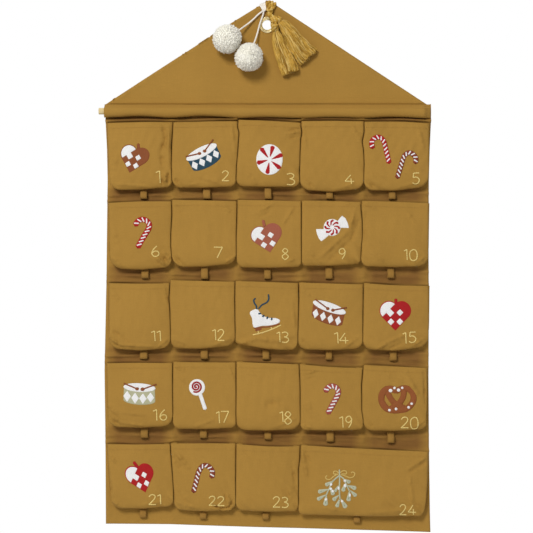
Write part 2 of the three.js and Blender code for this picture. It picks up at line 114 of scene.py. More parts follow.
class Nodes:
    """A material and a few short ways to add nodes to it."""

    def __init__(self, name, roughness, sheen=0.0, metallic=0.0, specular=0.2):
        self.material = bpy.data.materials.new(name)
        self.material.use_nodes = True
        self.tree = self.material.node_tree
        self.shader = self.tree.nodes["Principled BSDF"]
        for key, value in (("Roughness", roughness), ("Metallic", metallic), ("Sheen Weight", sheen),
                           ("Sheen Roughness", 0.5), ("Specular IOR Level", specular)):
            self.shader.inputs[key].default_value = value
        self.coords = self.add("ShaderNodeTexCoord").outputs["Object"]
        self.normal = None

    def add(self, kind, inputs=(), **settings):
        return add_node(self.tree, kind, inputs, **settings)

    def mapped(self, scale, rotation=(0, 0, 0)):
        return self.add("ShaderNodeMapping", {
            "Vector": self.coords, "Scale": scale, "Rotation": rotation}).outputs["Vector"]

    def noise(self, scale, detail=3.0, rotation=(0, 0, 0), distortion=0.0):
        """Noise whose cells per metre along each axis are scale."""
        return self.add("ShaderNodeTexNoise", {
            "Vector": self.mapped(scale, rotation), "Scale": 1.0, "Detail": detail,
            "Distortion": distortion}).outputs["Fac"]

    def bands(self, period, axis="X", rotation=(0, 0, 0), distortion=0.0):
        """Even ribs, one to each period in metres."""
        scale = 2 * math.pi / (20 * period)
        return self.add("ShaderNodeTexWave", {
            "Vector": self.mapped((1, 1, 1), rotation), "Scale": scale, "Distortion": distortion,
            "Detail": 1.0}, wave_type="BANDS", bands_direction=axis).outputs["Fac"]

    def spread(self, value, low, high, to_low=0.0, to_high=1.0):
        return self.add("ShaderNodeMapRange", {
            "Value": value, "From Min": low, "From Max": high, "To Min": to_low,
            "To Max": to_high}).outputs["Result"]

    def math(self, operation, a, b):
        return self.add("ShaderNodeMath", {0: a, 1: b}, operation=operation).outputs[0]

    def mix(self, factor, a, b):
        return self.add("ShaderNodeMix", {0: factor, 6: a, 7: b}, data_type="RGBA").outputs[2]

    def colour(self, socket):
        self.tree.links.new(socket, self.shader.inputs["Base Color"])

    def bump(self, height, distance, strength=1.0):
        """Bumps are chained, the last one given on top."""
        inputs = {"Height": height, "Distance": distance, "Strength": strength}
        if self.normal:
            inputs["Normal"] = self.normal
        self.normal = self.add("ShaderNodeBump", inputs).outputs["Normal"]
        self.tree.links.new(self.normal, self.shader.inputs["Normal"])


def cloth_material(name, base, contrast=1.0, painted_shade_strips=()):
    """Plain-woven canvas with slubs along both threads and a slow change of tone. Painted shade: in the strips
    given, each with its height at the middle, its rise along X and its half height, the colour is darker and
    redder, as shade falls between the rows of pockets; it fades at the column joints and the sides and is made
    uneven by noise."""
    m = Nodes(name, 0.92)
    light, dark = shade(base, 1.10), shade(base, 0.88)
    across = m.noise((45, 45, 900), 4)
    down = m.noise((900, 45, 45), 4)
    speckle = m.noise((520, 520, 520), 3)
    cloudy = m.noise((13, 13, 13), 3)
    slubs = m.math("ADD", m.spread(across, 0.3, 0.7, 0, 0.24 * contrast),
                   m.spread(down, 0.3, 0.7, 0, 0.18 * contrast))
    soft = m.math("ADD", m.spread(speckle, 0.3, 0.7, 0, 0.25 * contrast),
                  m.spread(cloudy, 0.3, 0.7, 0.03, 0.33))
    tone = m.math("ADD", slubs, soft)
    colour = m.mix(tone, dark, light)
    # Painted shade between the rows of pockets: darker and redder, lighter again at the column joints and the
    # sides.
    if painted_shade_strips:
        parts = m.add("ShaderNodeSeparateXYZ", {0: m.coords}).outputs
        shade_mask = None
        for height, rise, half in painted_shade_strips:
            off = m.math("SUBTRACT", m.math("SUBTRACT", parts["Z"], m.math("MULTIPLY", parts["X"], rise)),
                         height)
            strip = m.spread(m.math("ABSOLUTE", off, 0), half - 0.002, half + 0.006, 1, 0)
            shade_mask = strip if shade_mask is None else m.math("MAXIMUM", shade_mask, strip)
        for px in (106, *COLUMNS, 428):
            off = m.math("ABSOLUTE", m.math("SUBTRACT", parts["X"], place(px, 0)[0]), 0)
            shade_mask = m.math("MULTIPLY", shade_mask, m.spread(off, 0.003, 0.021, 0.3, 1))
        shade_mask = m.math("MULTIPLY", shade_mask, m.spread(m.noise((16, 16, 50), 3), 0.35, 0.6, 0.65, 1))
        shade_colours = [shade(base, (0.60, 0.52, 0.65)) for base in (dark, light)]
        colour = m.mix(shade_mask, colour, m.mix(tone, *shade_colours))
    m.colour(colour)
    weave = m.math("ADD", m.bands(0.0011, "X"), m.bands(0.0011, "Z"))
    m.bump(m.math("ADD", across, down), 0.0003, 0.3)
    m.bump(weave, 0.00012, 0.5)
    m.bump(m.noise((70, 70, 110), 3), 0.0012, 0.2)
    return m.material


def thread_material(name, base, angle, roughness=0.7):
    """Satin stitch: fine parallel threads at an angle, in degrees, in the plane of the cloth."""
    m = Nodes(name, roughness)
    turn = (0, math.radians(angle), 0)
    ribs = m.bands(0.0007, "X", turn, 1.2)
    strands = m.noise((1400, 120, 90), 2, turn)
    tone = m.spread(m.math("ADD", ribs, strands), 0.3, 1.5)
    m.colour(m.mix(tone, shade(base, 0.8), shade(base, 1.12)))
    m.bump(ribs, 0.00025, 0.6)
    m.bump(strands, 0.0002, 0.4)
    return m.material


def yarn_material(name, base, roughness=0.9, sheen=0.3, depth=0.25, shade_specks=0.0):
    """Spun yarn: soft, with a fine halo of tone along its fibres, and, when asked, grey specks at random that
    are painted shade between the strands.
    """
    m = Nodes(name, roughness, sheen=sheen)
    fibres = m.noise((900, 900, 900), 3)
    cloudy = m.noise((60, 60, 60), 3)
    tone = m.spread(m.math("ADD", fibres, cloudy), 0.7, 1.3)
    colour = m.mix(tone, shade(base, 1 - depth), shade(base, 1 + depth * 0.7))
    # Painted shade: grey specks at random stand for the shade between the wool's strands.
    if shade_specks:
        colour = m.mix(m.spread(m.noise((620, 620, 620), 2), 0.30, 0.42), shade(base, 1 - shade_specks), colour)
    m.colour(colour)
    m.bump(fibres, 0.0003, 0.5)
    return m.material


def brass_material():
    m = Nodes("brass", 0.3, metallic=1.0, specular=0.5)
    wear = m.noise((220, 220, 220), 4)
    m.colour(m.mix(m.spread(wear, 0.35, 0.7), rgb(200, 182, 134), rgb(220, 206, 162)))
    m.tree.links.new(m.spread(wear, 0.3, 0.7, 0.30, 0.40), m.shader.inputs["Roughness"])
    m.bump(m.noise((300, 300, 300), 2), 0.00003, 0.2)
    return m.material


def wood_material():
    m = Nodes("wood", 0.6)
    grain = m.noise((14, 520, 520), 4, distortion=0.6)
    pores = m.noise((90, 2400, 2400), 2)
    m.colour(m.mix(m.spread(grain, 0.3, 0.7), rgb(214, 188, 130), rgb(238, 220, 172)))
    m.bump(m.math("ADD", grain, pores), 0.0002, 0.4)
    return m.material


OCHRE = rgb(170, 129, 58)
cloth = cloth_material("ochre_canvas", OCHRE)
tape = cloth_material("ochre_tape", rgb(160, 119, 55), 0.7)
hem_thread = yarn_material("ochre_thread", rgb(168, 128, 60), 0.6, 0.0, 0.12)
brass = brass_material()
wood = wood_material()
white_cord = yarn_material("white_cord", rgb(247, 240, 228), 0.85, 0.1, 0.1)
# The cream wool has grey specks of painted shade between its strands.
wool = yarn_material("cream_wool", rgb(255, 251, 240), 0.95, 0.25, 0.03, 0.22)
gold_yarn = yarn_material("gold_yarn", rgb(202, 160, 68), 0.6, 0.0, 0.3)
gold_dark = yarn_material("gold_yarn_dark", rgb(160, 118, 40), 0.6, 0.0, 0.3)
gold_light = yarn_material("gold_yarn_light", rgb(222, 190, 112), 0.5, 0.0, 0.25)
number_thread = yarn_material("pale_gold_thread", rgb(232, 208, 132), 0.45, 0.0, 0.12)

THREADS = {name: thread_material("thread_" + name, rgb(*colour), angle) for name, colour, angle in (
    ("white", (254, 251, 245), 20), ("red", (174, 28, 30), -25), ("brown_red", (160, 34, 34), -25),
    ("dark_rose", (166, 78, 70), 30), ("brown", (142, 80, 45), -20), ("red_brown", (134, 62, 42), 30),
    ("rose", (166, 94, 71), -20), ("blue", (42, 72, 88), 62), ("sage", (186, 184, 150), 10),
    ("mist", (190, 192, 164), 35), ("mist_dark", (152, 160, 140), -30), ("pretzel", (150, 86, 45), 15),
    ("gold", (220, 190, 112), 25))}
THREADS["number"] = number_thread


# Meshes

def new_mesh(name, verts, faces, materials, body, indices=None):
    """A mesh object that rides on a body, if one is named. indices gives each face's material."""
    data = bpy.data.meshes.new(name)
    data.from_pydata([tuple(map(float, v)) for v in verts], [], [tuple(map(int, f)) for f in faces])
    for material in materials if isinstance(materials, (list, tuple)) else [materials]:
        data.materials.append(material)
    data.validate()
    if indices is not None:
        data.polygons.foreach_set("material_index", indices)
    data.polygons.foreach_set("use_smooth", [True] * len(data.polygons))
    data.update()
    piece = bpy.data.objects.new(name, data)
    bpy.context.scene.collection.objects.link(piece)
    if body:
        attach(piece, body)
    return piece


def grid_faces(rows, columns, wrap=False):
    """Quads of a grid of points, row by row."""
    faces = []
    for j in range(rows - 1):
        for i in range(columns if wrap else columns - 1):
            k = (i + 1) % columns
            faces.append((j * columns + i, j * columns + k, (j + 1) * columns + k, (j + 1) * columns + i))
    return faces


def unit(vectors):
    """One vector, or each of a row of them, at length one."""
    if np.ndim(vectors) > 1:
        return vectors / np.linalg.norm(vectors, axis=1)[:, None]
    return vectors / np.linalg.norm(vectors)


def circle(count):
    """Even turns round a circle."""
    return np.linspace(0, 2 * math.pi, count, endpoint=False)


def segments(path):
    return np.linalg.norm(np.diff(path, axis=0), axis=1)


def path_length(path):
    return float(segments(path).sum())


def run_along(path):
    """The length of a polyline up to each of its points."""
    return np.concatenate(([0], np.cumsum(segments(path))))


def resample(points, count):
    """Points at even steps along a polyline."""
    points = np.asarray(points, float)
    along = run_along(points)
    at = np.linspace(0, along[-1], count)
    return np.stack([np.interp(at, along, points[:, k]) for k in range(points.shape[1])], axis=1)


def curve(points, count, closed=False):
    """A smooth line through the points, in even steps."""
    points = np.asarray(points, float)
    if closed:
        padded = np.concatenate((points[-1:], points, points[:2]))
    else:
        padded = np.concatenate(([2 * points[0] - points[1]], points, [2 * points[-1] - points[-2]]))
    dense = []
    for a, b, c, d in zip(padded, padded[1:], padded[2:], padded[3:]):
        for t in np.linspace(0, 1, 9)[:-1]:
            dense.append(0.5 * (2 * b + (c - a) * t + (2 * a - 5 * b + 4 * c - d) * t * t
                                + (3 * b - a - 3 * c + d) * t ** 3))
    dense.append(padded[-2])
    return resample(dense, count)


def frames(path, closed=False):
    """Sides and ups along a path, without twist."""
    path = np.asarray(path, float)
    if closed:
        tangents = np.roll(path, -1, axis=0) - np.roll(path, 1, axis=0)
    else:
        tangents = np.gradient(path, axis=0)
    tangents /= np.linalg.norm(tangents, axis=1)[:, None] + 1e-12
    side = np.cross(tangents[0], (0, 0, 1) if abs(tangents[0][2]) < 0.9 else (1, 0, 0))
    sides = []
    for t in tangents:
        side = unit(side - t * side.dot(t))
        sides.append(side)
    sides = np.array(sides)
    return sides, np.cross(tangents, sides)


class Batch:
    """Tubes and patches that end up in one mesh."""

    def __init__(self):
        self.verts, self.faces, self.indices = [], [], []

    def add(self, verts, faces, index=0):
        start = len(self.verts)
        self.verts.extend(verts)
        self.faces.extend([tuple(start + i for i in face) for face in faces])
        self.indices.extend([index] * len(faces))

    def tube(self, path, radius, sides=8, flat=1.0, index=0, lay=None, closed=False, up_axis=None):
        """A tube with round ends. radius is a number or one for each point; lay is (strands, pitch)."""
        path = np.asarray(path, float)
        radii = np.broadcast_to(np.asarray(radius, float), (len(path),)).copy()
        side, up = frames(path, closed)
        if up_axis is not None:
            up = np.tile(np.asarray(up_axis, float), (len(path), 1))
            side = unit(np.cross(up, unit(np.gradient(path, axis=0))))
        turns = np.arange(sides) * 2 * math.pi / sides
        run = run_along(path)
        verts = []
        for k, point in enumerate(path):
            swell = np.ones(sides)
            if lay:
                swell += 0.16 * (np.abs(np.cos(0.5 * lay[0] * (turns - 2 * math.pi * run[k] / lay[1]))) - 0.6)
            ring = (point + np.outer(np.cos(turns) * swell, side[k]) * radii[k]
                    + np.outer(np.sin(turns) * swell, up[k]) * radii[k] * flat)
            verts.extend(ring)
        faces = grid_faces(len(path), sides, wrap=True)
        if closed:
            low = (len(path) - 1) * sides
            faces.extend([(low + i, low + (i + 1) % sides, (i + 1) % sides, i) for i in range(sides)])
        else:
            last = len(verts) - sides
            verts.append(path[0] - unit(path[1] - path[0]) * radii[0] * 0.6)
            verts.append(path[-1] + unit(path[-1] - path[-2]) * radii[-1] * 0.6)
            tip, end = len(verts) - 2, len(verts) - 1
            for i in range(sides):
                faces.append((tip, (i + 1) % sides, i))
                faces.append((end, last + i, last + (i + 1) % sides))
        self.add(verts, faces, index)

    def build(self, name, materials, body, slot):
        return new_mesh(name, self.verts, self.faces, materials, body, self.indices)


def solidify(piece, thickness, offset=-1.0, back=0):
    """Gives a sheet its thickness and applies it. A negative offset grows it behind its faces, and the new
    faces take the material that is so many slots further."""
    modifier = piece.modifiers.new("thickness", "SOLIDIFY")
    modifier.material_offset = back
    modifier.thickness = thickness
    modifier.offset = offset
    bpy.context.view_layer.update()
    graph = bpy.context.evaluated_depsgraph_get()
    mesh = bpy.data.meshes.new_from_object(piece.evaluated_get(graph))
    piece.modifiers.clear()
    old = piece.data
    piece.data = mesh
    bpy.data.meshes.remove(old)
    piece.data.polygons.foreach_set("use_smooth", [True] * len(piece.data.polygons))


def sheet_area(piece):
    return sum(face.area for face in piece.data.polygons)


def face_front(piece, face):
    """Turns a sheet's faces over when the one named looks away from the front."""
    if piece.data.polygons[face].normal.y > 0:
        piece.data.flip_normals()


# The hang of the cloth: slow waves all over and soft creases between the rows. Each band lies between
# two rows and has both ends of the pockets' bottoms and of the next mouths, in pixels.
BANDS = [[(104, 117), (433, 116.5), (104, 120.6), (433, 122)],
         [(104, 190), (433, 188), (104, 201), (433, 201.6)],
         [(104, 269), (433, 266.5), (104, 282), (433, 285.6)],
         [(104, 350), (433, 349), (104, 361.5), (433, 367.6)],
         [(104, 429), (433, 430.6), (104, 443), (433, 451.6)]]


def strip(band):
    """A band as its height at x = 0, its rise along X and its half height."""
    a, b, c, d = (place(*p) for p in band)
    rise = (b[2] - a[2] + d[2] - c[2]) / (b[0] - a[0] + d[0] - c[0])
    return (a[2] + b[2] + c[2] + d[2]) / 4 - rise * (a[0] + b[0]) / 2, rise, (a[2] + b[2] - c[2] - d[2]) / 4


# The body cloth's canvas carries painted shade in the strips between the rows of pockets.
body_canvas = cloth_material("body_canvas", OCHRE, painted_shade_strips=[strip(band) for band in BANDS])


def ripple(x, z, seed, across, along):
    """A smooth random surface from a few waves, about -1 to 1. across and along are wavelengths."""
    r = np.random.RandomState(seed)
    total = np.zeros(np.broadcast(x, z).shape)
    for _ in range(7):
        kx = 2 * math.pi / across * r.uniform(-1, 1)
        kz = 2 * math.pi / along * r.uniform(-1, 1)
        total = total + np.sin(kx * x + kz * z + r.uniform(0, 2 * math.pi))
    return total / 3.2


BODY_FOLDS = [
    (112, 192, 166, 196, 1.5, 1.0), (176, 192.5, 232, 195, 1.4, 1.1), (240, 194, 298, 195.4, 1.5, 1.0),
    (304, 197, 358, 194.4, 1.4, 0.9), (368, 194, 424, 196.6, 1.5, 0.9), (110, 274.4, 166, 278.4, 1.5, 1.1),
    (168, 273.8, 236, 277.4, 1.4, 1.3), (232, 278, 300, 275, 1.3, 1.2), (304, 273, 362, 276.4, 1.5, 0.9),
    (364, 274.4, 424, 278, 1.5, 0.9), (110, 357, 168, 353.4, 1.5, 1.1), (172, 353.4, 236, 357, 1.4, 1.3),
    (238, 352.6, 300, 358.6, 1.5, 1.2), (300, 357.4, 362, 354.4, 1.4, 1.1), (364, 357, 424, 360.4, 1.4, 1.0),
    (110, 433.6, 170, 437.4, 1.5, 1.0), (172, 434.6, 236, 438.6, 1.4, 1.2), (238, 438.4, 300, 435, 1.5, 1.1),
    (300, 437.6, 362, 441.6, 1.5, 1.0), (362, 436.6, 424, 441.4, 1.4, 1.0),
]


def folds(lines, px, py, scale=0.0027):
    """The sum of some soft ridges, in metres."""
    total = np.zeros(px.shape)
    for x0, y0, x1, y1, width, height in lines:
        size = math.hypot(x1 - x0, y1 - y0)
        ux, uy = (x1 - x0) / size, (y1 - y0) / size
        share = np.clip(((px - x0) * ux + (py - y0) * uy) / size, 0, 1)
        far = np.hypot(px - x0 - share * size * ux, py - y0 - share * size * uy)
        uneven = 1 + 0.35 * np.sin(9 * share + x0) + 0.25 * np.sin(23 * share + y0)
        fade = np.sin(math.pi * (0.1 + 0.8 * share))
        total = total + scale * height * np.exp(-(far / width) ** 2) * fade * uneven
    return total


def mouth_line(row):
    """The tops of a row's pockets from left to right, in pixels."""
    line = []
    for number in range(5 * row + 1, min(5 * row + 6, 25)):
        left, right = (side[0][0] for side in pocket_sides(number))
        line += zip((left + 0.6, (left + right) / 2, right - 0.6), SHAPES[number][:3])
    return line


def body_y(x, z):
    """The front face of the body cloth: it bulges in folds above each mouth and dips below each bottom."""
    x, z = np.asarray(x, float), np.asarray(z, float)
    y = -0.0018 - 0.0012 * ripple(x, z, 3, 0.34, 0.5)
    for number, (a, b, _, _) in enumerate(BANDS):
        left, right = place(a[0], 0)[0], place(b[0], 0)[0]
        share = (x - left) / (right - left)
        low = place(0, a[1])[2] * (1 - share) + place(0, b[1])[2] * share
        mouth = (ORIGIN[1] - slope(ORIGIN[0] + x / PIXEL, mouth_line(number))) * PIXEL
        wide = ripple(x, z * 0, 70 + number, 0.13, 1.0)
        over = np.exp(-((z - mouth - 0.0030 - 0.0016 * wide) / 0.0030) ** 2)
        y = y - over * (0.0030 + 0.0018 * ripple(x, z * 0, 80 + number, 0.07, 1.0))
        if number:
            upper = np.exp(-((z - low + 0.0105 + 0.0024 * wide) / 0.0030) ** 2)
            y = y - upper * (0.0018 + 0.0022 * ripple(x, z * 0, 90 + number, 0.06, 1.0))
            near = np.exp(-((z - (low + mouth) / 2) / 0.010) ** 2)
            y = y - near * 0.0009 * ripple(x, z, 60 + number, 0.05, 0.022)
        else:
            y = y - np.exp(-((z - mouth - 0.0042 - 0.0006 * wide) / 0.0026) ** 2) * 0.0036
            near = over
        for px in COLUMNS:
            y = y - near * 0.0040 * np.exp(-((x - place(px, 0)[0]) / 0.0062) ** 2)
    if y.ndim:
        y = y - folds(BODY_FOLDS, ORIGIN[0] + x / PIXEL, ORIGIN[1] - z / PIXEL, 0.0017)
    return y


def slope(px, line):
    """The pixel down at which a line of pixels passes a pixel across."""
    xs, ys = zip(*line)
    return np.interp(px, xs, ys)


def reach(py, line):
    """The pixel across at which a line of pixels passes a pixel down."""
    xs, ys = zip(*line)
    return np.interp(py, ys, xs)


BODY_LEFT = [
    (105.5, 120), (107, 150), (107.6, 180), (107.3, 210), (106.5, 280), (104.5, 370), (105.4, 440),
    (106, 523.5),
]
BODY_RIGHT = [
    (431, 120), (429.6, 150), (428.8, 180), (428.5, 240), (428.8, 300), (428.5, 370), (429, 440), (429.8, 500),
    (430.6, 532),
]
BODY_HEM = [
    (100, 523.2), (106, 523.5), (170, 524), (210, 525.4), (260, 527), (300, 528), (350, 529.5), (400, 531),
    (431, 532),
]
BODY_TOP_PIXEL = 99


def body_panel():
    columns, rows = 150, 360
    verts = []
    for t in np.linspace(0, 1, rows):
        guess = BODY_TOP_PIXEL + t * (523 - BODY_TOP_PIXEL)
        left, right = reach(guess, BODY_LEFT), reach(guess, BODY_RIGHT)
        for s in np.linspace(0, 1, columns):
            px = left + s * (right - left)
            py = BODY_TOP_PIXEL + t * (slope(px, BODY_HEM) - BODY_TOP_PIXEL)
            p = place(px, py, -0.002)
            verts.append((p[0], 0, p[2]))
    verts = np.array(verts)
    verts[:, 1] = body_y(verts[:, 0], verts[:, 2])
    lap = np.clip((verts[:, 2] + 0.150) / 0.010, 0, 1)
    verts[:, 1] = verts[:, 1] * (1 - lap) - 0.0016 * lap
    shown = verts.reshape(rows, columns, 3)
    edge = np.minimum(np.arange(columns), np.arange(columns)[::-1])
    shown[:, :, 1] -= np.where(edge < 3, 0.0006, 0)[None, :]
    low = rows - 1 - np.arange(rows)
    shown[:, :, 1] -= np.where(low < 4, 0.0006, 0)[:, None]
    half_width = 0.268
    narrow = (lap >= 0.5) & (np.abs(verts[:, 0]) > half_width)
    verts[narrow, 0] = np.sign(verts[narrow, 0]) * half_width
    faces = [f[::-1] for f in grid_faces(rows, columns)]
    piece = new_mesh("body_cloth", verts, faces, body_canvas, "hanging")
    piece.data.materials.append(cloth)
    solidify(piece, CANVAS_THICK, back=1)
    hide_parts("body_panel")


# Gable

TIP = [(259, 6.1), (262.5, 4.2), (266, 3.2), (270, 3.2), (273.5, 4.0), (276.2, 5.4)]
GABLE_EDGE = [(105.3, 104.6), (167, 64.6), (228.5, 24.8)] + TIP + [(350, 54), (427, 104.6)]
SEAM_PIXEL = 104.8


def inside(points, outline):
    """Which points lie in a closed outline."""
    a, b = np.asarray(outline, float), np.roll(outline, -1, axis=0)
    x, z = points[:, :1], points[:, 1:]
    crosses = (a[:, 1] > z) != (b[:, 1] > z)
    rise = np.where(np.abs(b[:, 1] - a[:, 1]) < 1e-15, 1e-15, b[:, 1] - a[:, 1])
    left = x < (b[:, 0] - a[:, 0]) * (z - a[:, 1]) / rise + a[:, 0]
    return (crosses & left).sum(axis=1) % 2 == 1


def edge_distance(points, outline):
    a, b = np.asarray(outline, float), np.roll(outline, -1, axis=0)
    d = b - a
    from_a = points[:, None, :] - a[None]
    t = np.clip((from_a * d).sum(axis=2) / ((d * d).sum(axis=1) + 1e-18), 0, 1)
    return np.sqrt(((from_a - t[:, :, None] * d) ** 2).sum(axis=2)).min(axis=1)


def filled(outline, spacing, holes=()):
    """Triangles that fill a closed outline with points at an even spacing: points and faces."""
    outline = np.asarray(outline, float)
    low, high = outline.min(axis=0), outline.max(axis=0)
    inner = []
    shift, z = 0, low[1]
    while z < high[1]:
        inner.extend([(x, z) for x in np.arange(low[0] + shift, high[0], spacing)])
        shift = spacing / 2 - shift
        z += spacing * 0.87
    inner = np.array(inner if inner else [outline.mean(axis=0)])
    keep = inside(inner, outline) & (edge_distance(inner, outline) > 0.45 * spacing)
    for hole in holes:
        keep &= ~inside(inner, np.asarray(hole)) & (edge_distance(inner, np.asarray(hole)) > 0.45 * spacing)
    inner = inner[keep]
    points = [tuple(p) for p in outline]
    edges = [(i, (i + 1) % len(outline)) for i in range(len(outline))]
    for hole in holes:
        start = len(points)
        points.extend([tuple(p) for p in hole])
        edges.extend([(start + i, start + (i + 1) % len(hole)) for i in range(len(hole))])
    points.extend([tuple(p) for p in inner])
    verts, _, faces, _, _, _ = delaunay_2d_cdt([Vector(p) for p in points], edges, [], 0, 1e-7)
    verts, faces = np.array([tuple(v) for v in verts]), np.array(faces)
    centres = verts[faces].mean(axis=1)
    keep = inside(centres, outline)
    for hole in holes:
        keep &= ~inside(centres, np.asarray(hole))
    return verts, faces[keep]


def towards(faces, verts, direction=(0, -1, 0)):
    """The triangles, turned to look along a direction."""
    verts = np.asarray(verts)
    a, b, c = (verts[faces[:, k]] for k in range(3))
    behind = (np.cross(b - a, c - a) @ np.array(direction)) < 0
    return np.where(behind[:, None], faces[:, ::-1], faces).tolist()


def gable_y(x, z):
    """The front face of the gable cloth."""
    x, z = np.asarray(x, float), np.asarray(z, float)
    calm = np.clip(1 - np.hypot(x, z) / 0.05, 0, 1)
    return -0.0035 - 0.0012 * ripple(x, z, 11, 0.30, 0.22) * (1 - calm)


def gable():
    seam = place(0, SEAM_PIXEL, -0.003)[2]
    edge = [place(x, y, -0.003)[[0, 2]] for x, y in GABLE_EDGE]
    outline = np.concatenate((resample(edge, 240), resample([edge[-1], edge[0]], 120)[1:-1]))
    hole = np.stack((np.cos(circle(48)), np.sin(circle(48))), axis=1) * 0.0103
    flat, faces = filled(outline, 0.0045, [hole])
    verts = np.stack((flat[:, 0], gable_y(flat[:, 0], flat[:, 1]), flat[:, 1]), axis=1)
    rim = edge_distance(flat, outline)
    verts[:, 1] -= 0.0005 * np.clip(1 - (rim - 0.006) / 0.001, 0, 1) * (flat[:, 1] > seam + 0.004)
    faces = towards(faces, verts)
    piece = new_mesh("gable_cloth", verts, faces, cloth, "hanging")
    solidify(piece, CANVAS_THICK)
    casing, casing_area, flap = make_casing(seam)
    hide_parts("gable_panel")
    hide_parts("gable_panel")
    stitches = Batch()
    for py, start, stop_at in ((105.6, 107, 428), (108.4, 300, 426)):
        along = np.arange(place(start, py)[0], place(stop_at, py)[0], STITCH_STEP)
        bead_line(stitches, casing, along, place(0, py, -0.012)[2])
    stitches.build("casing_stitches", hem_thread, "hanging", "cloth")


def make_casing(seam):
    """The gable's lower edge, folded forward round the dowel and stitched at the seam, and the flap
    that closes its right end."""
    left, right = place(104.2, 0, -0.012)[0], place(431.3, 0, -0.012)[0]
    stations = np.linspace(left, right, 190)
    centre_y, centre_z, radius, inner_y = -0.0101, -0.1588, 0.0083, -0.0021
    verts = []
    profile = 26
    for x in stations:
        sag = 0.0016 + 0.0011 * math.cos(2 * math.pi * (x - 0.0587) / 0.1174)
        sag += 0.0006 * ripple(x, 0.0, 31, 0.09, 1.0)
        sag += 0.0016 * np.clip((x + 0.075) / 0.03, 0, 1)
        closing = np.clip((x - (right - 0.0125)) / 0.0125, 0, 1)
        squeeze = 1 - 0.6 * closing ** 0.7
        opening = np.clip(1 - (x - left) / 0.004, 0, 1) * 0.0006
        for i in range(profile):
            t = i / (profile - 1)
            if t < 0.16:
                s = t / 0.16
                y = -0.0042 + (centre_y - radius * 0.78 + 0.0042) * s ** 1.5
                z = seam + 0.0008 + (centre_z + radius * 0.62 - seam - 0.0008) * s
            else:
                turn = math.radians(142 + (360 - 142) * (t - 0.16) / 0.84)
                y = centre_y + (radius + opening) * math.cos(turn)
                z = centre_z - sag * (1 - math.sin(turn)) / 2 + (radius + opening) * math.sin(turn)
            y = inner_y + (y - inner_y) * squeeze
            z = z + 0.0006 * ripple(x, z, 41, 0.05, 0.02) * (0.3 + closing)
            verts.append((x, y, z))
    verts.extend([(x, inner_y, seam) for x in stations])
    faces = grid_faces(len(stations), profile)
    base = len(stations) * profile
    for k in range(len(stations) - 1):
        a, b = k * profile + profile - 1, (k + 1) * profile + profile - 1
        faces.append((a, b, base + k + 1, base + k))
    casing = new_mesh("casing_cloth", verts, faces, cloth, "hanging")
    area = sheet_area(casing)
    face_front(casing, len(faces) // 4)
    solidify(casing, 0.0013)
    x = right - 0.0006
    ring = [(x, inner_y - 0.0046 * math.sin(t), centre_z + 0.0015 + 0.0125 * math.cos(t))
            for t in np.linspace(0, math.pi, 18)]
    flap = new_mesh("casing_closed_end", [(x, inner_y, centre_z)] + ring,
                    [(0, i, i + 1) for i in range(1, len(ring))], cloth, "hanging")
    solidify(flap, 0.0012, 0.0)
    return casing, area, flap


def bead_line(batch, piece, along, z, length=0.0024, radius=0.00035):
    """Stitches along X at height z, laid on the piece's front."""
    tree = BVHTree.FromObject(piece, bpy.context.evaluated_depsgraph_get())
    for x in along:
        hit = tree.ray_cast(Vector((x, -0.2, z)), Vector((0, 1, 0)))[0]
        if hit is None:
            continue
        path = [(x, hit.y + 0.0001, z), (x + length * 0.2, hit.y - radius * 0.6, z),
                (x + length * 0.8, hit.y - radius * 0.6, z), (x + length, hit.y + 0.0001, z)]
        batch.tube(path, radius, 5)


# Pockets. Each row lists the lines where neighbours meet, in pixels from the top down.

SIDES = [
    [[(107, 121), (107.6, 140), (108.8, 165), (110.6, 190)],
     [(173, 121), (172.6, 130), (171.8, 146), (171.5, 166), (172, 178), (173.5, 190)],
     [(238, 120), (237.6, 127), (239.1, 133), (238.2, 146), (236.8, 165), (235.9, 178), (236.5, 190)],
     [(301, 120), (301.2, 127), (302, 132.5), (300.8, 140), (299.9, 160), (299.5, 178), (300, 190)],
     [(364.2, 120), (364.4, 132), (362.3, 142), (363.6, 150), (364.1, 165), (363.6, 180), (364, 190)],
     [(429.8, 121), (429.2, 140), (428.8, 160), (428.5, 190)]],
    [[(108.4, 200), (109.2, 230), (110, 270)],
     [(171.5, 200), (171.9, 215), (171, 232), (171, 246), (172, 260), (172, 270)],
     [(237, 200), (236.7, 220), (236.2, 240), (236.6, 258), (236.6, 270)],
     [(301.6, 200), (301.4, 230), (301.6, 270)],
     [(361.6, 200), (361.1, 207), (362.4, 220), (362.6, 235), (361.4, 246), (360.7, 258), (360.9, 270)],
     [(429, 200), (428.5, 230), (428, 270)]],
    [[(108.6, 282), (109, 310), (110, 352)],
     [(169.8, 282), (168.9, 298), (170.1, 313), (170.9, 338), (171, 352)],
     [(235, 280), (234.7, 300), (235.3, 335), (235.6, 352)],
     [(298.8, 281), (299, 300), (298.3, 320), (297.8, 338), (297.8, 352)],
     [(363.6, 283), (363.3, 300), (362.8, 330), (362.6, 352)],
     [(429.1, 284), (428.8, 320), (427.9, 352)]],
    [[(106.6, 361), (107.4, 390), (108.8, 430)],
     [(172.6, 361), (172.6, 385), (173, 418), (173, 430)],
     [(236, 361), (236.2, 390), (236, 430)],
     [(299.2, 363), (300.2, 390), (300.3, 432)],
     [(363.6, 366), (361.7, 385), (361.7, 410), (363.3, 424), (363.4, 432)],
     [(427.6, 366), (426.8, 395), (426.3, 432)]],
    [[(107, 442), (108, 462), (110.6, 492), (112, 512)],
     [(170.2, 442), (170.8, 455), (172, 468), (173.6, 490), (174, 512)],
     [(235.8, 442), (235.8, 470), (235.6, 512)],
     [(300.6, 444), (299.9, 458), (298.4, 470), (298.4, 492), (298.2, 516)],
     [],
     [(428.5, 450), (427.5, 480), (426, 500), (423.5, 516)]],
]
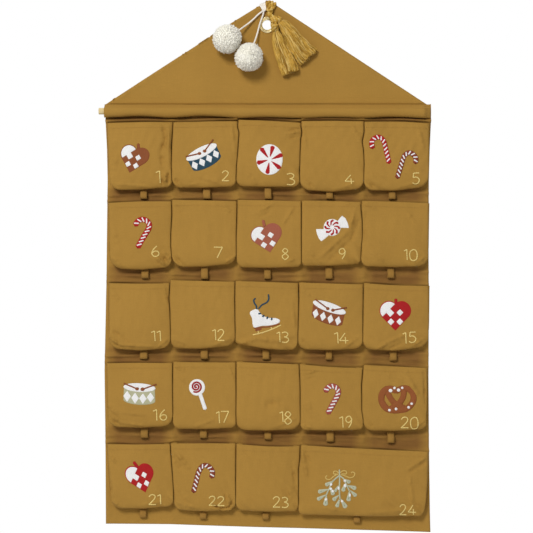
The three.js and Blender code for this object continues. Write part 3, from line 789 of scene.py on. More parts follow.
# number: top left, middle, right; bottom left, middle, right; corner radii left, right
SHAPES = {
    1: (122.9, 121.9, 121.8, 190, 189.6, 186, 10, 6), 2: (122.2, 121.3, 121.1, 187.9, 187.8, 186.1, 8, 6),
    3: (119.4, 120.7, 122.7, 186.6, 187.1, 187, 8, 7), 4: (120.9, 120.7, 121.1, 190.6, 191.9, 188, 11, 8),
    5: (121.6, 121.4, 123.2, 190.5, 190.8, 185.7, 9, 10), 6: (202.9, 201.3, 201.3, 269, 269.8, 266.3, 14, 7),
    7: (199.8, 200.3, 201.1, 267, 266.7, 262.9, 12, 9), 8: (199.7, 200.3, 201.1, 267.6, 268, 266.4, 8, 4.5),
    9: (200.5, 200.8, 202.1, 266, 265.9, 263.3, 5, 4.5), 10: (200.7, 201.6, 203, 266.6, 267.3, 265.8, 8, 10),
    11: (283.2, 283.6, 283.3, 349.2, 350.6, 347.7, 10, 10),
    12: (280.1, 280.9, 281.8, 348.6, 348.8, 344.4, 8, 8), 13: (280.9, 281.9, 283.1, 344.2, 349, 351, 4, 10),
    14: (282.5, 283.5, 284.4, 349.6, 350.2, 348.2, 9, 8), 15: (283.2, 285.3, 286, 349.6, 350.9, 345.6, 9, 9),
    16: (363.3, 362.8, 363.3, 427, 427.7, 425.2, 11, 9), 17: (362.1, 362.4, 362.6, 429, 429.1, 427.3, 8, 5.5),
    18: (361.9, 363.2, 364.4, 430.2, 430.5, 428.4, 10, 9), 19: (364.2, 367, 368.2, 430, 430.6, 429, 6, 4.5),
    20: (365.1, 366.5, 368.1, 430.6, 430.8, 429, 9, 6), 21: (444.4, 444.5, 444.1, 508.4, 508.5, 504.6, 10, 5),
    22: (443.5, 443.4, 443.7, 510.2, 511.3, 510, 9, 7), 23: (444.2, 446.4, 446.4, 510.6, 511.5, 511, 9, 4),
    24: (445.2, 448.9, 451.8, 514.5, 516.3, 516, 5, 5),
}
# number: creases, each with two ends in pixels, a half width in pixels and a height in mm
CREASES = {
    1: [(168.4, 123, 168.8, 176, 1.6, 1.4), (162.5, 125, 166, 139, 1.8, -1.3),
        (166, 139, 161.4, 151, 1.8, -1.3), (161.4, 151, 163.4, 172, 2.0, -1.2),
        (165.2, 175, 165.6, 183.5, 1.6, 2.4), (168.4, 171, 168.4, 184, 0.9, -2.0),
        (161.2, 178, 163.2, 185, 0.9, -1.8), (113, 184, 150, 187, 1.4, 0.8), (118, 150, 112, 180, 2.5, 0.7)],
    2: [(174, 178, 181, 186, 1.4, -1.0), (231, 122, 235, 152, 1.6, 0.9), (198, 176, 226, 185, 2.0, 0.7),
        (186, 186, 202, 183, 1.3, 0.6)],
    3: [(286, 134, 301, 131.5, 1.2, 1.3), (288, 130.5, 300, 128.5, 0.9, -0.9),
        (286, 138.5, 299, 137, 1.0, -0.9), (246, 171, 258, 186, 2.0, 0.7)],
    4: [(303, 126, 306, 150, 1.8, 0.9), (304, 178, 316, 190, 1.5, -0.8), (352, 126, 361, 140, 1.6, 0.8),
        (335, 190, 356, 183, 1.6, 0.6)],
    5: [(367, 182, 376, 188, 1.4, -0.9), (418, 126, 424, 150, 1.8, 0.8), (398, 188, 420, 181, 1.6, 0.6)],
    6: [(157, 257.5, 165, 265, 1.1, 1.8), (160, 254.5, 168.5, 262.5, 1.1, -1.5),
        (163.5, 252, 170.5, 259, 1.1, 1.8), (165, 259.5, 170, 254, 0.8, -0.6), (157, 261, 163, 266, 0.9, -1.0),
        (113, 257, 122, 267, 1.8, 0.9), (112, 225, 120, 250, 2.5, 0.7)],
    7: [(174, 256, 184, 265, 1.4, -0.9), (222, 205, 232, 214, 1.8, 0.7), (176, 206, 184, 214, 1.6, -0.6),
        (226, 262, 235, 256, 1.1, 1.2)],
    8: [(254, 214, 276, 202, 1.5, 1.0), (283, 224, 293, 208, 1.5, 0.9), (258, 218, 270, 212, 1.3, -0.7),
        (286, 262, 297, 258, 1.4, 0.8)],
    9: [(355, 209, 349, 232, 2.0, 1.3), (347, 232, 320, 257, 2.2, 1.4), (359, 220, 351, 242, 2.0, -0.9),
        (351, 240, 328, 262, 2.4, -0.9), (342, 205, 352, 203, 1.0, 0.8), (306, 248, 320, 262, 1.6, 0.8)],
    10: [(366, 214, 364, 246, 1.6, -0.9), (364, 203, 376, 209, 1.2, 0.8), (408, 214, 415, 222, 1.6, 0.7),
        (372, 252, 384, 262, 2.0, 0.7), (418, 262, 425, 256, 1.2, 0.9)],
    11: [(108, 335, 119, 344, 1.3, 1.6), (118, 344, 152, 346.5, 1.2, 1.5), (112, 342, 124, 348, 1.0, -1.2),
        (158, 347, 168, 339, 1.2, 1.1), (111, 290, 123, 304, 1.8, 0.7), (164, 288, 167, 302, 1.0, 1.3),
        (112, 330, 126, 340, 1.6, -0.8)],
    12: [(176, 342, 188, 347, 1.6, -0.7), (214, 345, 231, 338, 1.6, 0.8)],
    13: [(238, 344, 257, 338, 2.4, 1.6), (256, 337.6, 280, 341, 2.6, 1.5), (268, 341, 296, 335, 2.2, 0.7),
        (292, 300, 295, 334, 1.6, 0.8)],
    14: [(300, 338, 308, 347, 1.4, -0.9), (344, 347, 358, 337, 1.6, 0.9), (302, 290, 310, 296, 1.4, 0.7)],
    15: [(374, 350, 390, 341, 1.8, 1.4), (389, 341, 404, 335, 1.8, 1.1), (388, 349, 402, 343, 1.4, -0.9),
        (412, 346, 424, 338, 1.4, 0.9)],
    16: [(109, 414, 122, 422, 1.2, 1.5), (121, 422, 146, 425.5, 1.2, 1.1), (108, 404, 118, 415, 1.2, 1.0),
        (116, 411, 150, 415, 1.4, 0.8), (111, 419, 121, 425, 1.0, -1.0)],
    17: [(175, 366, 185, 371, 1.2, 1.1), (178, 376, 186, 382, 1.4, 0.7), (196, 426, 214, 419, 1.6, 0.9),
        (228, 366, 234, 380, 1.3, 0.7)],
    18: [(262, 405, 286, 402, 4.5, -1.2), (240, 370, 262, 376, 1.8, 0.6), (276, 426, 296, 418, 1.6, 0.7)],
    19: [(304, 374, 317, 370, 1.3, 1.0), (306, 380, 316, 377, 1.1, -0.7), (303, 424, 312, 428, 1.2, 0.9),
        (306, 398, 312, 416, 2.0, 0.7)],
    20: [(424, 372, 425.5, 408, 1.1, -1.5), (405, 373, 420, 398, 2.2, 1.1), (366, 418, 374, 428, 1.4, -0.8),
        (414, 428, 424, 420, 1.4, 0.9), (380, 372, 396, 378, 1.8, 0.7)],
    21: [(109, 454, 117, 464, 1.4, 1.1), (109, 470, 112.5, 500, 1.2, -1.4), (112, 500, 124, 507, 1.4, 0.9),
        (140, 505, 166, 500, 1.6, 0.7)],
    22: [(174, 450, 189, 467, 1.8, 1.6), (171, 456, 183, 471, 1.8, -1.0), (210, 504, 222, 508.6, 1.0, -2.0),
        (220, 508.8, 230, 506.8, 1.0, -2.2), (229, 507.4, 232.6, 500, 1.0, -1.6),
        (211, 507.4, 224, 510.6, 1.0, 1.4), (227.6, 494, 231, 503, 1.1, 1.8), (224.8, 494, 227, 504, 1.0, -1.0),
        (178, 502, 200, 508, 1.6, 1.0), (176, 486, 188, 500, 1.8, 0.8)],
    23: [(292, 462, 296, 488, 1.6, -1.1), (288, 486, 294, 507, 1.8, 0.9), (240, 450, 250, 460, 1.6, 0.6)],
    24: [(302, 452, 307, 476, 1.6, 1.5), (304, 449, 311, 466, 1.6, -0.8), (426.5, 456.5, 408, 468.5, 1.7, 1.4),
        (427, 461.5, 409, 473, 1.5, -0.8), (409, 474, 412.6, 505, 1.8, 0.9), (372, 512, 420, 508, 2.0, 0.8),
        (318, 506, 352, 512, 2.2, 0.7)],
}


WIDE_POCKET = 24


def pocket_sides(number):
    row, column = divmod(number - 1, 5)
    return SIDES[row][column], SIDES[row][5 if number == WIDE_POCKET else column + 1]


def pocket_outline(number):
    """The front's outline in pixels, from the top left down and round to the top right, and the
    places of the four sides' corners along it."""
    left, right = pocket_sides(number)
    tl, tm, tr, bl, bm, br, rl, rr = SHAPES[number]
    gap = 0.15

    def x_left(y):
        return reach(y, left) + gap

    def x_right(y):
        return reach(y, right) - gap

    x0, x1 = x_left(bl), x_right(br)
    middle = (x0 + x1) / 2

    def low(x):
        return np.interp(x, [x0, x0 + rl, middle, x1 - rr, x1], [bl, bl, bm, br * 0.6 + bm * 0.4, br])

    side_l = [(x_left(y), y) for y in np.linspace(tl, bl - rl, 30)]
    side_r = [(x_right(y), y) for y in np.linspace(tr, br - rr, 30)]
    turns = np.linspace(0, math.pi / 2, 25)[1:-1]

    def arc(side, radius, base, towards_right):
        corner_x = x0 if towards_right else x1
        points = []
        for t in turns:
            across = radius * (1 - math.cos(t) ** 0.95)
            down = radius * (1 - math.sin(t) ** 0.95)
            x = corner_x + (across if towards_right else -across)
            points.append((x + (side(base - down) - corner_x) * (1 - t / (math.pi / 2)), low(x) - down))
        return points

    arc_l = arc(x_left, rl, bl, True)
    arc_r = arc(x_right, rr, br, False)
    run = [(x, low(x)) for x in np.linspace(x0 + rl, x1 - rr, 40)]
    run_smooth = curve(run[::6] + [run[-1]], 60)
    path = np.array(side_l + arc_l + [tuple(p) for p in run_smooth] + arc_r[::-1] + side_r[::-1])
    a = len(side_l) + len(arc_l) // 2
    b = len(side_l) + len(arc_l) + len(run_smooth) + len(arc_r) // 2
    top = curve([(path[0][0], tl), ((path[0][0] + path[-1][0]) / 2, tm), (path[-1][0], tr)], 40)
    return path, a, b, top


def smoothed(values, reach):
    """The values, each averaged with so many neighbours on both sides."""
    count = 2 * reach + 1
    return np.convolve(np.pad(values, reach, "edge"), np.ones(count) / count, "valid")


class Pocket:
    """One pocket's front and gusset, and the BVH of its front for what is stitched on it."""

    def __init__(self, number):
        self.number = number
        self.name = f"pocket_{number:02d}"
        self.body = f"pocket_body_{number:02d}"
        rand = np.random.RandomState(100 + number)
        columns, rows = 120 if number == WIDE_POCKET else 66, 62
        path, a, b, top = pocket_outline(number)
        left = resample(path[:a + 1], rows)[::-1]
        bottom = resample(path[a:b + 1], columns)
        right = resample(path[b:], rows)
        upper = resample(top, columns)
        u = np.linspace(0, 1, columns)[None, :, None]
        v = np.linspace(0, 1, rows)[:, None, None]
        grid = ((1 - v) * bottom[None] + v * upper[None] + (1 - u) * left[:, None] + u * right[:, None]
                - (1 - u) * (1 - v) * bottom[0] - u * (1 - v) * bottom[-1]
                - (1 - u) * v * upper[0] - u * v * upper[-1])
        depth_low = 0.0220 + rand.uniform(-0.001, 0.001)
        depth_high = 0.0108 + rand.uniform(-0.0010, 0.0010)
        self.front = np.array([[place(px, py, -0.016) for px, py in row] for row in grid])
        x, z = self.front[:, :, 0], self.front[:, :, 2]
        zl, zh = z.min(), z.max()
        up = np.clip((z - zl) / (zh - zl), 0, 1)
        across = np.broadcast_to(np.linspace(0, 1, columns)[None, :], x.shape)
        depth = depth_low + (depth_high - depth_low) * up ** 1.15
        crown = 0.0034 * (1 - (2 * across - 1) ** 2) * np.sin(math.pi * np.clip(up * 0.92 + 0.04, 0, 1))
        creases = 0.0012 * ripple(x, z, 200 + number, 0.07, 0.11)
        creases += 0.00035 * ripple(x, z, 240 + number, 0.016, 0.026)
        corner = np.exp(-(((across - 1) * 3.2) ** 2 + (up * 3.0) ** 2))
        corner += 0.6 * np.exp(-((across * 3.2) ** 2 + (up * 3.4) ** 2))
        creases += corner * 0.0028 * ripple(x + z, x - z, 300 + number, 0.022, 0.07)
        creases += folds(CREASES[number], grid[:, :, 0], grid[:, :, 1])
        mouth = np.exp(-((1 - up) / 0.12) ** 2)
        creases += mouth * 0.0015 * ripple(x, z * 0, 400 + number, 0.06, 1.0)
        from_side = np.clip(np.minimum(x - x[:, :1], x[:, -1:] - x), 0, None)
        from_low = np.clip(z - z[:1, :], 0, None)
        rounding = 0.0019 * np.exp(-from_side / 0.0016) * up ** 0.5
        rounding = rounding + 0.0046 * np.exp(-from_low / 0.0036) + 0.0022 * np.exp(-from_low / 0.011)
        pinch = 0.0012 * np.exp(-from_side / 0.012) * up
        hem = np.clip((up - 0.905) / 0.006, 0, 1)
        base = -0.0022
        self.front[:, :, 1] = base - depth - crown - creases + rounding + pinch - 0.00012 * hem
        self.verts = [tuple(p) for p in self.front.reshape(-1, 3)]
        self.faces = grid_faces(rows, columns)
        self.gusset(rows, columns, *SHAPES[number][6:])
        self.piece = new_mesh(self.name + "_cloth", self.verts, self.faces, cloth, None)
        face_front(self.piece, (rows // 2) * (columns - 1) + columns // 2)
        self.tree = BVHTree.FromObject(self.piece, bpy.context.evaluated_depsgraph_get())
        self.area = sheet_area(self.piece)
        self.hem_row = self.front[int(round(0.925 * (rows - 1)))]
        self.low_z = float(zl)

    def gusset(self, rows, columns, radius_left, radius_right):
        """Folds the sides and the bottom in and out again, back to the body cloth."""
        edge = [j * columns for j in range(rows - 1, -1, -1)] + list(range(1, columns))
        edge += [j * columns + columns - 1 for j in range(1, rows)]
        points = np.array([self.verts[k] for k in edge])
        flat = points[:, [0, 2]]
        tangent = unit(np.gradient(flat, axis=0))
        inward = np.stack((-tangent[:, 1], tangent[:, 0]), axis=1)
        middle = len(flat) // 2
        if (flat.mean(axis=0) - flat[middle]) @ inward[middle] < 0:
            inward = -inward
        inward = unit(np.stack([smoothed(inward[:, k], 4) for k in (0, 1)], axis=1))
        limit = np.full(len(edge), 0.0105)
        spread = np.zeros(len(edge))
        if self.number % 5 == 1:
            spread[:rows - 8] = 1
        if self.number % 5 == 0 or self.number == WIDE_POCKET:
            spread[8 - rows:] = 1
        spread = smoothed(spread, 8)
        limit = limit * (1 - 0.95 * spread)
        for corner, radius in ((rows, radius_left), (len(edge) - rows, radius_right)):
            arc = slice(corner - 14, corner + 14)
            limit[arc] = np.minimum(limit[arc], radius * PIXEL * 0.75)
        limit = smoothed(limit, 6)
        previous = edge
        for t in (0.06, 0.2, 0.36, 0.47, 0.53, 0.64, 0.8, 1.0):
            fold = limit * (1 - abs(2 * t - 1) ** 1.25) + (0.002 - 0.0045 * spread) * t
            ring = flat + inward * fold[:, None]
            back = body_y(ring[:, 0], ring[:, 1]) - 0.0004
            y = points[:, 1] * (1 - t) + back * t
            start = len(self.verts)
            self.verts.extend([(p[0], q, p[1]) for p, q in zip(ring, y)])
            current = list(range(start, start + len(edge)))
            for k in range(len(edge) - 1):
                self.faces.append((previous[k], current[k], current[k + 1], previous[k + 1]))
            previous = current

    def stitch_hem(self):
        hem = Batch()
        line = resample(self.hem_row[2:-2], int(path_length(self.hem_row) / STITCH_STEP))
        for p, b in zip(line, line[1:]):
            q = p + (b - p) * 0.7
            hem.tube([(p[0], p[1] + 0.0002, p[2]), (p[0] * 0.8 + q[0] * 0.2, p[1] - 0.0003, p[2]),
                      (p[0] * 0.2 + q[0] * 0.8, q[1] - 0.0003, q[2]), (q[0], q[1] + 0.0002, q[2])], 0.00022, 5)
        hem.build(self.name + "_hem_stitches", hem_thread, self.body, "cloth")

    def finish(self):
        solidify(self.piece, POCKET_THICK)
        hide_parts(self.name)
        middle = self.front.mean(axis=(0, 1))
        back = float(body_y(middle[0], middle[2]))
        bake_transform(self.piece)

    def surface(self, x, z):
        """The front's y at a place, a little over the cloth where the ray misses it."""
        hit = self.tree.ray_cast(Vector((x, -0.2, z)), Vector((0, 1, 0)))[0]
        if hit is None:
            hit = self.tree.find_nearest(Vector((x, -0.018, z)))[0]
        return hit.y


# Embroidery

class Embroidery:
    """Everything that is stitched on one pocket, as one mesh with a material for each thread."""

    def __init__(self, pocket):
        self.pocket = pocket
        self.batch = Batch()
        self.used = []

    def index(self, thread):
        if thread not in self.used:
            self.used.append(thread)
        return self.used.index(thread)

    def flat(self, points):
        return np.array([place(x, y, -0.021)[[0, 2]] for x, y in points])

    def patch(self, points, thread, height=0.0009, lift=0.0, smooth=False, count=None):
        """A padded area of satin stitch inside a closed outline of pixels."""
        outline = self.flat(curve(points, count or 60, closed=True)[:-1] if smooth else points)
        closed = np.concatenate((outline, outline[:1]))
        if smooth:
            outline = resample(closed, max(12, int(path_length(closed) / 0.0009)))[:-1]
        else:
            dense = []
            for a, b in zip(closed, closed[1:]):
                steps = max(1, int(round(np.linalg.norm(b - a) / 0.0009)))
                dense.extend([a + (b - a) * s / steps for s in range(steps)])
            outline = np.array(dense)
        verts, faces = filled(outline, 0.0011)
        distance = edge_distance(verts, outline)
        swell = np.sqrt(np.clip(1 - (1 - np.clip(distance / 0.0010, 0, 1)) ** 2, 0, 1))
        solid = []
        for (x, z), s in zip(verts, swell):
            solid.append((x, self.pocket.surface(x, z) + 0.0002 - lift - (height + 0.0002) * s, z))
        self.batch.add(solid, towards(faces, solid), self.index(thread))

    def line(self, points, width, thread, height=0.0008, lift=0.0, smooth=True, step=0.0012, taper=0.0):
        """A raised line of stitches along pixels; width is in pixels."""
        path = self.flat(curve(points, 80) if smooth and len(points) > 2 else points)
        path = resample(path, max(4, int(path_length(path) / step)))
        t = np.linspace(0, 1, len(path))
        radius = width * PIXEL / 2 * (1 - taper * t)
        solid = [(x, self.pocket.surface(x, z) - lift - height * 0.15, z) for x, z in path]
        self.batch.tube(solid, radius, 10, flat=height / (width * PIXEL / 2), index=self.index(thread),
                        up_axis=(0, -1, 0))

    def stitched(self, points, width, thread, stitch=0.0027, lift=0.0, height=0.0007):
        """A line of separate back stitches."""
        path = self.flat(curve(points, 80) if len(points) > 2 else points)
        count = max(1, int(round(path_length(path) / stitch)))
        dense = resample(path, count * 5 + 1)
        radius = width * PIXEL / 2
        for k in range(count):
            part = dense[k * 5:k * 5 + 6]
            solid = []
            for m, (x, z) in enumerate(part):
                dip = 0.0 if 0 < m < 5 else 0.0003
                solid.append((x, self.pocket.surface(x, z) - lift - height * 0.3 + dip, z))
            self.batch.tube(solid, [radius * w for w in (0.7, 1, 1.05, 1.05, 1, 0.7)], 6,
                            flat=height / radius, index=self.index(thread), up_axis=(0, -1, 0))

    def build(self):
        materials = [THREADS[name] for name in self.used]
        self.batch.build(self.pocket.name + "_embroidery", materials, self.pocket.body, "cloth")


def heart(e, tip, right, left, colour, stem, bulge):
    """A woven heart: a chequered square on its corner, with a half round lobe on each upper side."""
    tip, right, left = (np.array(p, float) for p in (tip, right, left))

    def lobe(start, along, out, swell, inset=0.0):
        centre, radius = start + along / 2, np.linalg.norm(along) / 2 - inset
        out, along = unit(out), unit(along)
        return [centre + along * radius * math.cos(t) + out * radius * swell * math.sin(t)
                for t in np.linspace(0, math.pi, 22)]

    right_lobe = lobe(tip + 3 * right, 3 * left, right, bulge[1])
    left_lobe = lobe(tip + 3 * left, 3 * right, left, bulge[0])
    e.patch([tip] + right_lobe[::-1] + left_lobe[1:], colour, 0.0009)
    teeth = [tip + right * i + left * j for i, j in ((0.95, 3.0), (0.95, 2.1), (1.85, 2.1), (1.85, 3.0))]
    e.patch(lobe(tip + 3 * left, 3 * right, left, bulge[0], 0.85) + teeth, "white", 0.0005, 0.0010)
    for i, j in ((1, 0), (0, 1), (2, 1)):
        cell = [tip + right * (i + a) + left * (j + b)
                for a, b in ((0.1, 0.1), (0.9, 0.1), (0.9, 0.9), (0.1, 0.9))]
        e.patch(cell, "white", 0.0005, 0.0010)
    e.line(stem, 3.0, colour, 0.0011, smooth=False)


def drum(e, head, axis, diamonds, colour, sticks, taper):
    """A drum seen from above: head is centre, half length and half width vectors."""
    centre, long, short = (np.array(p, float) for p in head)
    axis = np.array(axis, float)
    ring = [centre + long * math.cos(t) + short * math.sin(t) for t in circle(48)]
    shell = [centre + long * taper * math.cos(t) + short * math.sin(t) + axis
             for t in np.linspace(0, math.pi, 24)]
    e.patch([centre + long * 0.97] + shell + [centre - long * 0.97] + [centre], colour, 0.0008)
    e.patch(ring, "white", 0.0005, 0.0009)
    up, side = unit(axis), unit(long)
    for c, (dx, dy) in diamonds:
        e.patch([c + side * dx, c + up * dy, c - side * dx, c - up * dy], "white", 0.0005, 0.0009)
    for a, b, knob in sticks:
        e.line([a, b], 1.4, "brown", 0.0006, 0.0015, smooth=False)
        e.patch(disc(b, knob, knob * 0.85, 16), "brown", 0.0007, 0.0015)


def cane(e, points, width, colour, slant):
    """A hooked cane with eleven white stripes, slanting by so many degrees."""
    e.line(points, width, colour, 0.0011)
    path = curve(points, 200)
    tangent = unit(np.gradient(path, axis=0))
    for k in range(11):
        n = int((k + 0.55) / 11.2 * 199)
        t, side = tangent[n], np.array((tangent[n][1], -tangent[n][0]))
        lean = math.radians(slant * min(1.0, 0.55 + 0.09 * k))
        way = (side * math.cos(lean) + t * math.sin(lean)) * width * 0.39
        e.line([path[n] - way, path[n], path[n] + way], 1.4, "white", 0.0006, 0.0010, smooth=False, step=0.0008)


def teardrop(base, tip, width):
    """A long drop with its point at base and its round end at tip."""
    base, tip = np.array(base, float), np.array(tip, float)
    along = tip - base
    length = np.linalg.norm(along)
    along /= length
    side = np.array((-along[1], along[0]))
    left = [base + along * length * s + side * width / 2 * s ** 0.75 for s in (0.02, 0.3, 0.6, 0.85)]
    right = [base + along * length * s - side * width / 2 * s ** 0.75 for s in (0.85, 0.6, 0.3, 0.02)]
    cap = [tip - along * width * 0.3 + along * width / 2 * math.sin(t) + side * width / 2 * math.cos(t)
           for t in np.linspace(0.15, math.pi - 0.15, 8)]
    return left + cap + right


def disc(centre, rx, ry, count=40):
    return [(centre[0] + rx * math.cos(t), centre[1] + ry * math.sin(t)) for t in circle(count)]


# number: lower tip, a step to the right, a step to the left, thread, stem, the two lobes' bulges
HEARTS = {
    1: ((129.8, 173), (5.0, -3.1), (-2.7, -4.9), "brown", [(138.6, 148.5), (138.2, 144.2)], (1.05, 1.12)),
    8: ((270.2, 252.6), (3.35, -5.0), (-5.3, -3.4), "rose", [(264.4, 226), (263.2, 220.6)], (0.95, 1.02)),
    15: ((395.2, 330.8), (4.5, -4.6), (-4.4, -4.5), "red", [(395.9, 304.5), (396, 299.4)], (0.95, 0.95)),
    21: ((145.6, 492.4), (2.4, -5.2), (-5.0, -3.05), "red", [(137.6, 467.4), (133.8, 462.4)], (1.2, 0.96)),
}
# number: the head, the axis, each diamond's centre and half sizes, thread, sticks with their knobs, taper
DRUMS = {
    2: ([(201.6, 152.2), (15, -7.6), (2.2, 4.6)], (5.2, 10.4),
        [((194.9, 165.6), (3.5, 4.9)), ((202.2, 162.4), (3.5, 4.7)), ((209.2, 158.6), (3.5, 4.7)),
         ((216, 154.2), (3.5, 4.6))],
        "blue", [((186, 156.8), (199.6, 153.6), 1.9), ((213, 139.6), (204.7, 151.2), 2.0)], 0.94),
    14: ([(329.4, 307.4), (16.4, 5.6), (-1.4, 4.5)], (-2.4, 11.6),
         [((315.6, 313.4), (3.3, 4.9)), ((323, 316.4), (3.3, 4.9)), ((330.4, 319), (3.3, 4.9)),
          ((338, 320.8), (3.3, 4.9))],
         "brown", [((315.4, 299.4), (327.8, 308.6), 1.9), ((346.6, 307.6), (333, 310.2), 2.0)], 0.94),
    16: ([(139.4, 387.6), (16, 1.0), (-0.5, 4.3)], (0, 12.8),
         [((127.2, 396.2), (3.9, 5.6)), ((135.2, 398), (3.9, 5.6)), ((143, 398.4), (3.9, 5.4)),
          ((150.6, 397.4), (3.8, 5.2))],
         "sage", [((123.8, 383.4), (137.2, 388.8), 2.0), ((156.2, 384.4), (142.6, 389.2), 2.2)], 1.0),
}
# number: each cane's middle line, width, thread and stripes' slant
CANES = {
    5: [([(372.4, 147.6), (371.8, 142.4), (374.2, 138.6), (378.6, 137), (383, 139.6), (385, 145.6),
          (389, 162.6)], 5.1, "red", -34),
        ([(415.4, 162.8), (415.8, 158.2), (413, 154.2), (409, 152.8), (405, 155.2), (402.4, 160.6),
          (397.4, 177.6)], 4.9, "red_brown", 38)],
    6: [([(135.6, 225), (137.6, 221.6), (141.4, 219.6), (146, 220.6), (149, 224), (148.6, 228.6),
          (144.6, 235.4), (138.2, 247)], 5.7, "red", -46)],
    19: [([(325.4, 391), (327.6, 388), (331.6, 386.2), (336, 387.6), (338.2, 391.4), (337, 396.4),
           (333, 403.6), (328, 412.8)], 5.6, "dark_rose", -38)],
    22: [([(211.8, 477), (212.4, 472), (210, 467.8), (205.8, 465.6), (201.8, 467), (198.8, 472),
           (196.6, 480), (193.8, 491.4)], 5.2, "red_brown", 38)],
}


def peppermint(e):
    e.patch(disc((269.5, 159.6), 13.3, 15.5), "white", 0.0010)
    for base, tip in (((268.9, 158.9), (261.4, 148.8)), ((269.8, 158.3), (272.8, 146.7)),
                      ((270.8, 159.7), (281.6, 155)), ((270.6, 160.8), (279.6, 168)),
                      ((269.3, 161.3), (267.4, 173.2)), ((268.4, 160.1), (257.8, 163))):
        e.patch(teardrop(base, tip, 5.0), "red", 0.0005, 0.0010)


def wrapped_sweet(e):
    for end in ([(326, 229.4), (321, 228.9), (315.8, 229), (316.8, 234), (318.8, 238.8), (321.2, 241.6),
                 (324.6, 239.2), (328.6, 235.6)],
                [(337, 221.8), (339.6, 218.2), (342.2, 215.6), (345.6, 218.2), (347.8, 222.6), (349, 228.2),
                 (344.4, 228), (339.2, 228)]):
        e.patch(end, "white", 0.0007)
    x, y = 332.1, 227.5
    e.patch(disc((x, y), 8.6, 8.6), "white", 0.0010)
    for k in range(8):
        t = k * 2 * math.pi / 8 - 1.75
        way = [(x + r * math.cos(t + a), y + r * math.sin(t + a))
               for r, a in ((7.2, 0.32), (6.0, 0.05), (4.2, -0.1), (2.4, -0.35))]
        e.line(way, 2.3, "red", 0.0005, 0.0011, taper=0.6)


def skate(e):
    e.patch([(255, 326.8), (261.6, 326.8), (261.8, 329.6), (259, 331), (255.4, 331.4)], "brown", 0.0006)
    e.patch([(249.8, 312.2), (256.6, 308.8), (259.6, 311.8), (262.6, 315.2), (268.6, 317.6), (276.6, 318.2),
             (280.2, 320.6), (277.8, 323.6), (270, 325.6), (261.4, 326.2), (254.6, 327.8), (252.6, 324.4),
             (252, 318.6)], "white", 0.0011, smooth=True, count=70)
    e.line([(254, 328), (262, 327.2), (271, 326.4), (279.4, 323.9)], 1.3, "brown", 0.0007)
    for blade, width in (([(252.8, 334.8), (262, 332.6), (271.4, 329.4), (281, 325)], 1.2),
                         ([(258, 330.6), (258.6, 333.4)], 1.0), ([(271, 327.2), (272, 329.2)], 1.0)):
        e.stitched(blade, width, "number")
    for a, b in (((258.6, 313.8), (260.6, 313.4)), ((262.6, 316.6), (264, 315.2)),
                 ((267, 318.6), (267.6, 316.8)), ((271.6, 319.8), (271.8, 317.9))):
        e.line([a, b], 1.7, "blue", 0.0006, 0.0012, smooth=False)
    for lace in ([(256.8, 309.8), (256.2, 306), (254.4, 303), (253.8, 300.2), (255.4, 298.4)],
                 [(258.6, 308.6), (262, 305), (266.8, 302.4), (268.8, 299), (268.4, 294.6)]):
        e.line(lace, 1.6, "blue", 0.0009)


def lollipop(e):
    e.line([(199.8, 393), (205.2, 408.8)], 3.9, "white", 0.0009, smooth=False)
    e.patch(disc((197, 387.4), 8.1, 8.3), "white", 0.0010)
    turns, radii = np.linspace(0.6, 14.6, 70), np.linspace(0.5, 5.6, 70)
    spiral = [(196.2 + r * math.cos(t), 386.6 + r * math.sin(t)) for t, r in zip(turns, radii)]
    e.line(spiral, 1.7, "brown_red", 0.0005, 0.0012)


def pretzel(e):
    for points, width in (
            ([(396, 391), (391, 389), (385.6, 389.8), (381.8, 394.5), (381.8, 401.6), (386, 408),
              (392, 410.4)], 6.4),
            ([(392, 410.4), (398, 410.2), (404.6, 409.4), (410, 405.8), (413.4, 399.8), (412.4, 393),
              (407.6, 388.8), (402, 388.6), (396, 391)], 6.0),
            ([(387.6, 392.4), (390.8, 399), (396.4, 404.6), (403.4, 407.6)], 5.8),
            ([(404, 391), (402.8, 397.6), (398.8, 403.2), (391.6, 408)], 5.8)):
        e.line(points, width, "pretzel", 0.0011)
    for x, y, r in ((390.5, 390.4, 1.9), (394.4, 388, 1.5), (398.5, 390, 1.8), (402.2, 387.8, 1.4),
                    (411.6, 403.6, 1.4), (408.5, 407.2, 1.5), (395.8, 408.8, 1.5), (389.3, 409.8, 1.5)):
        e.patch(disc((x, y), r, r * 0.95, 14), "white", 0.0007, 0.0012)


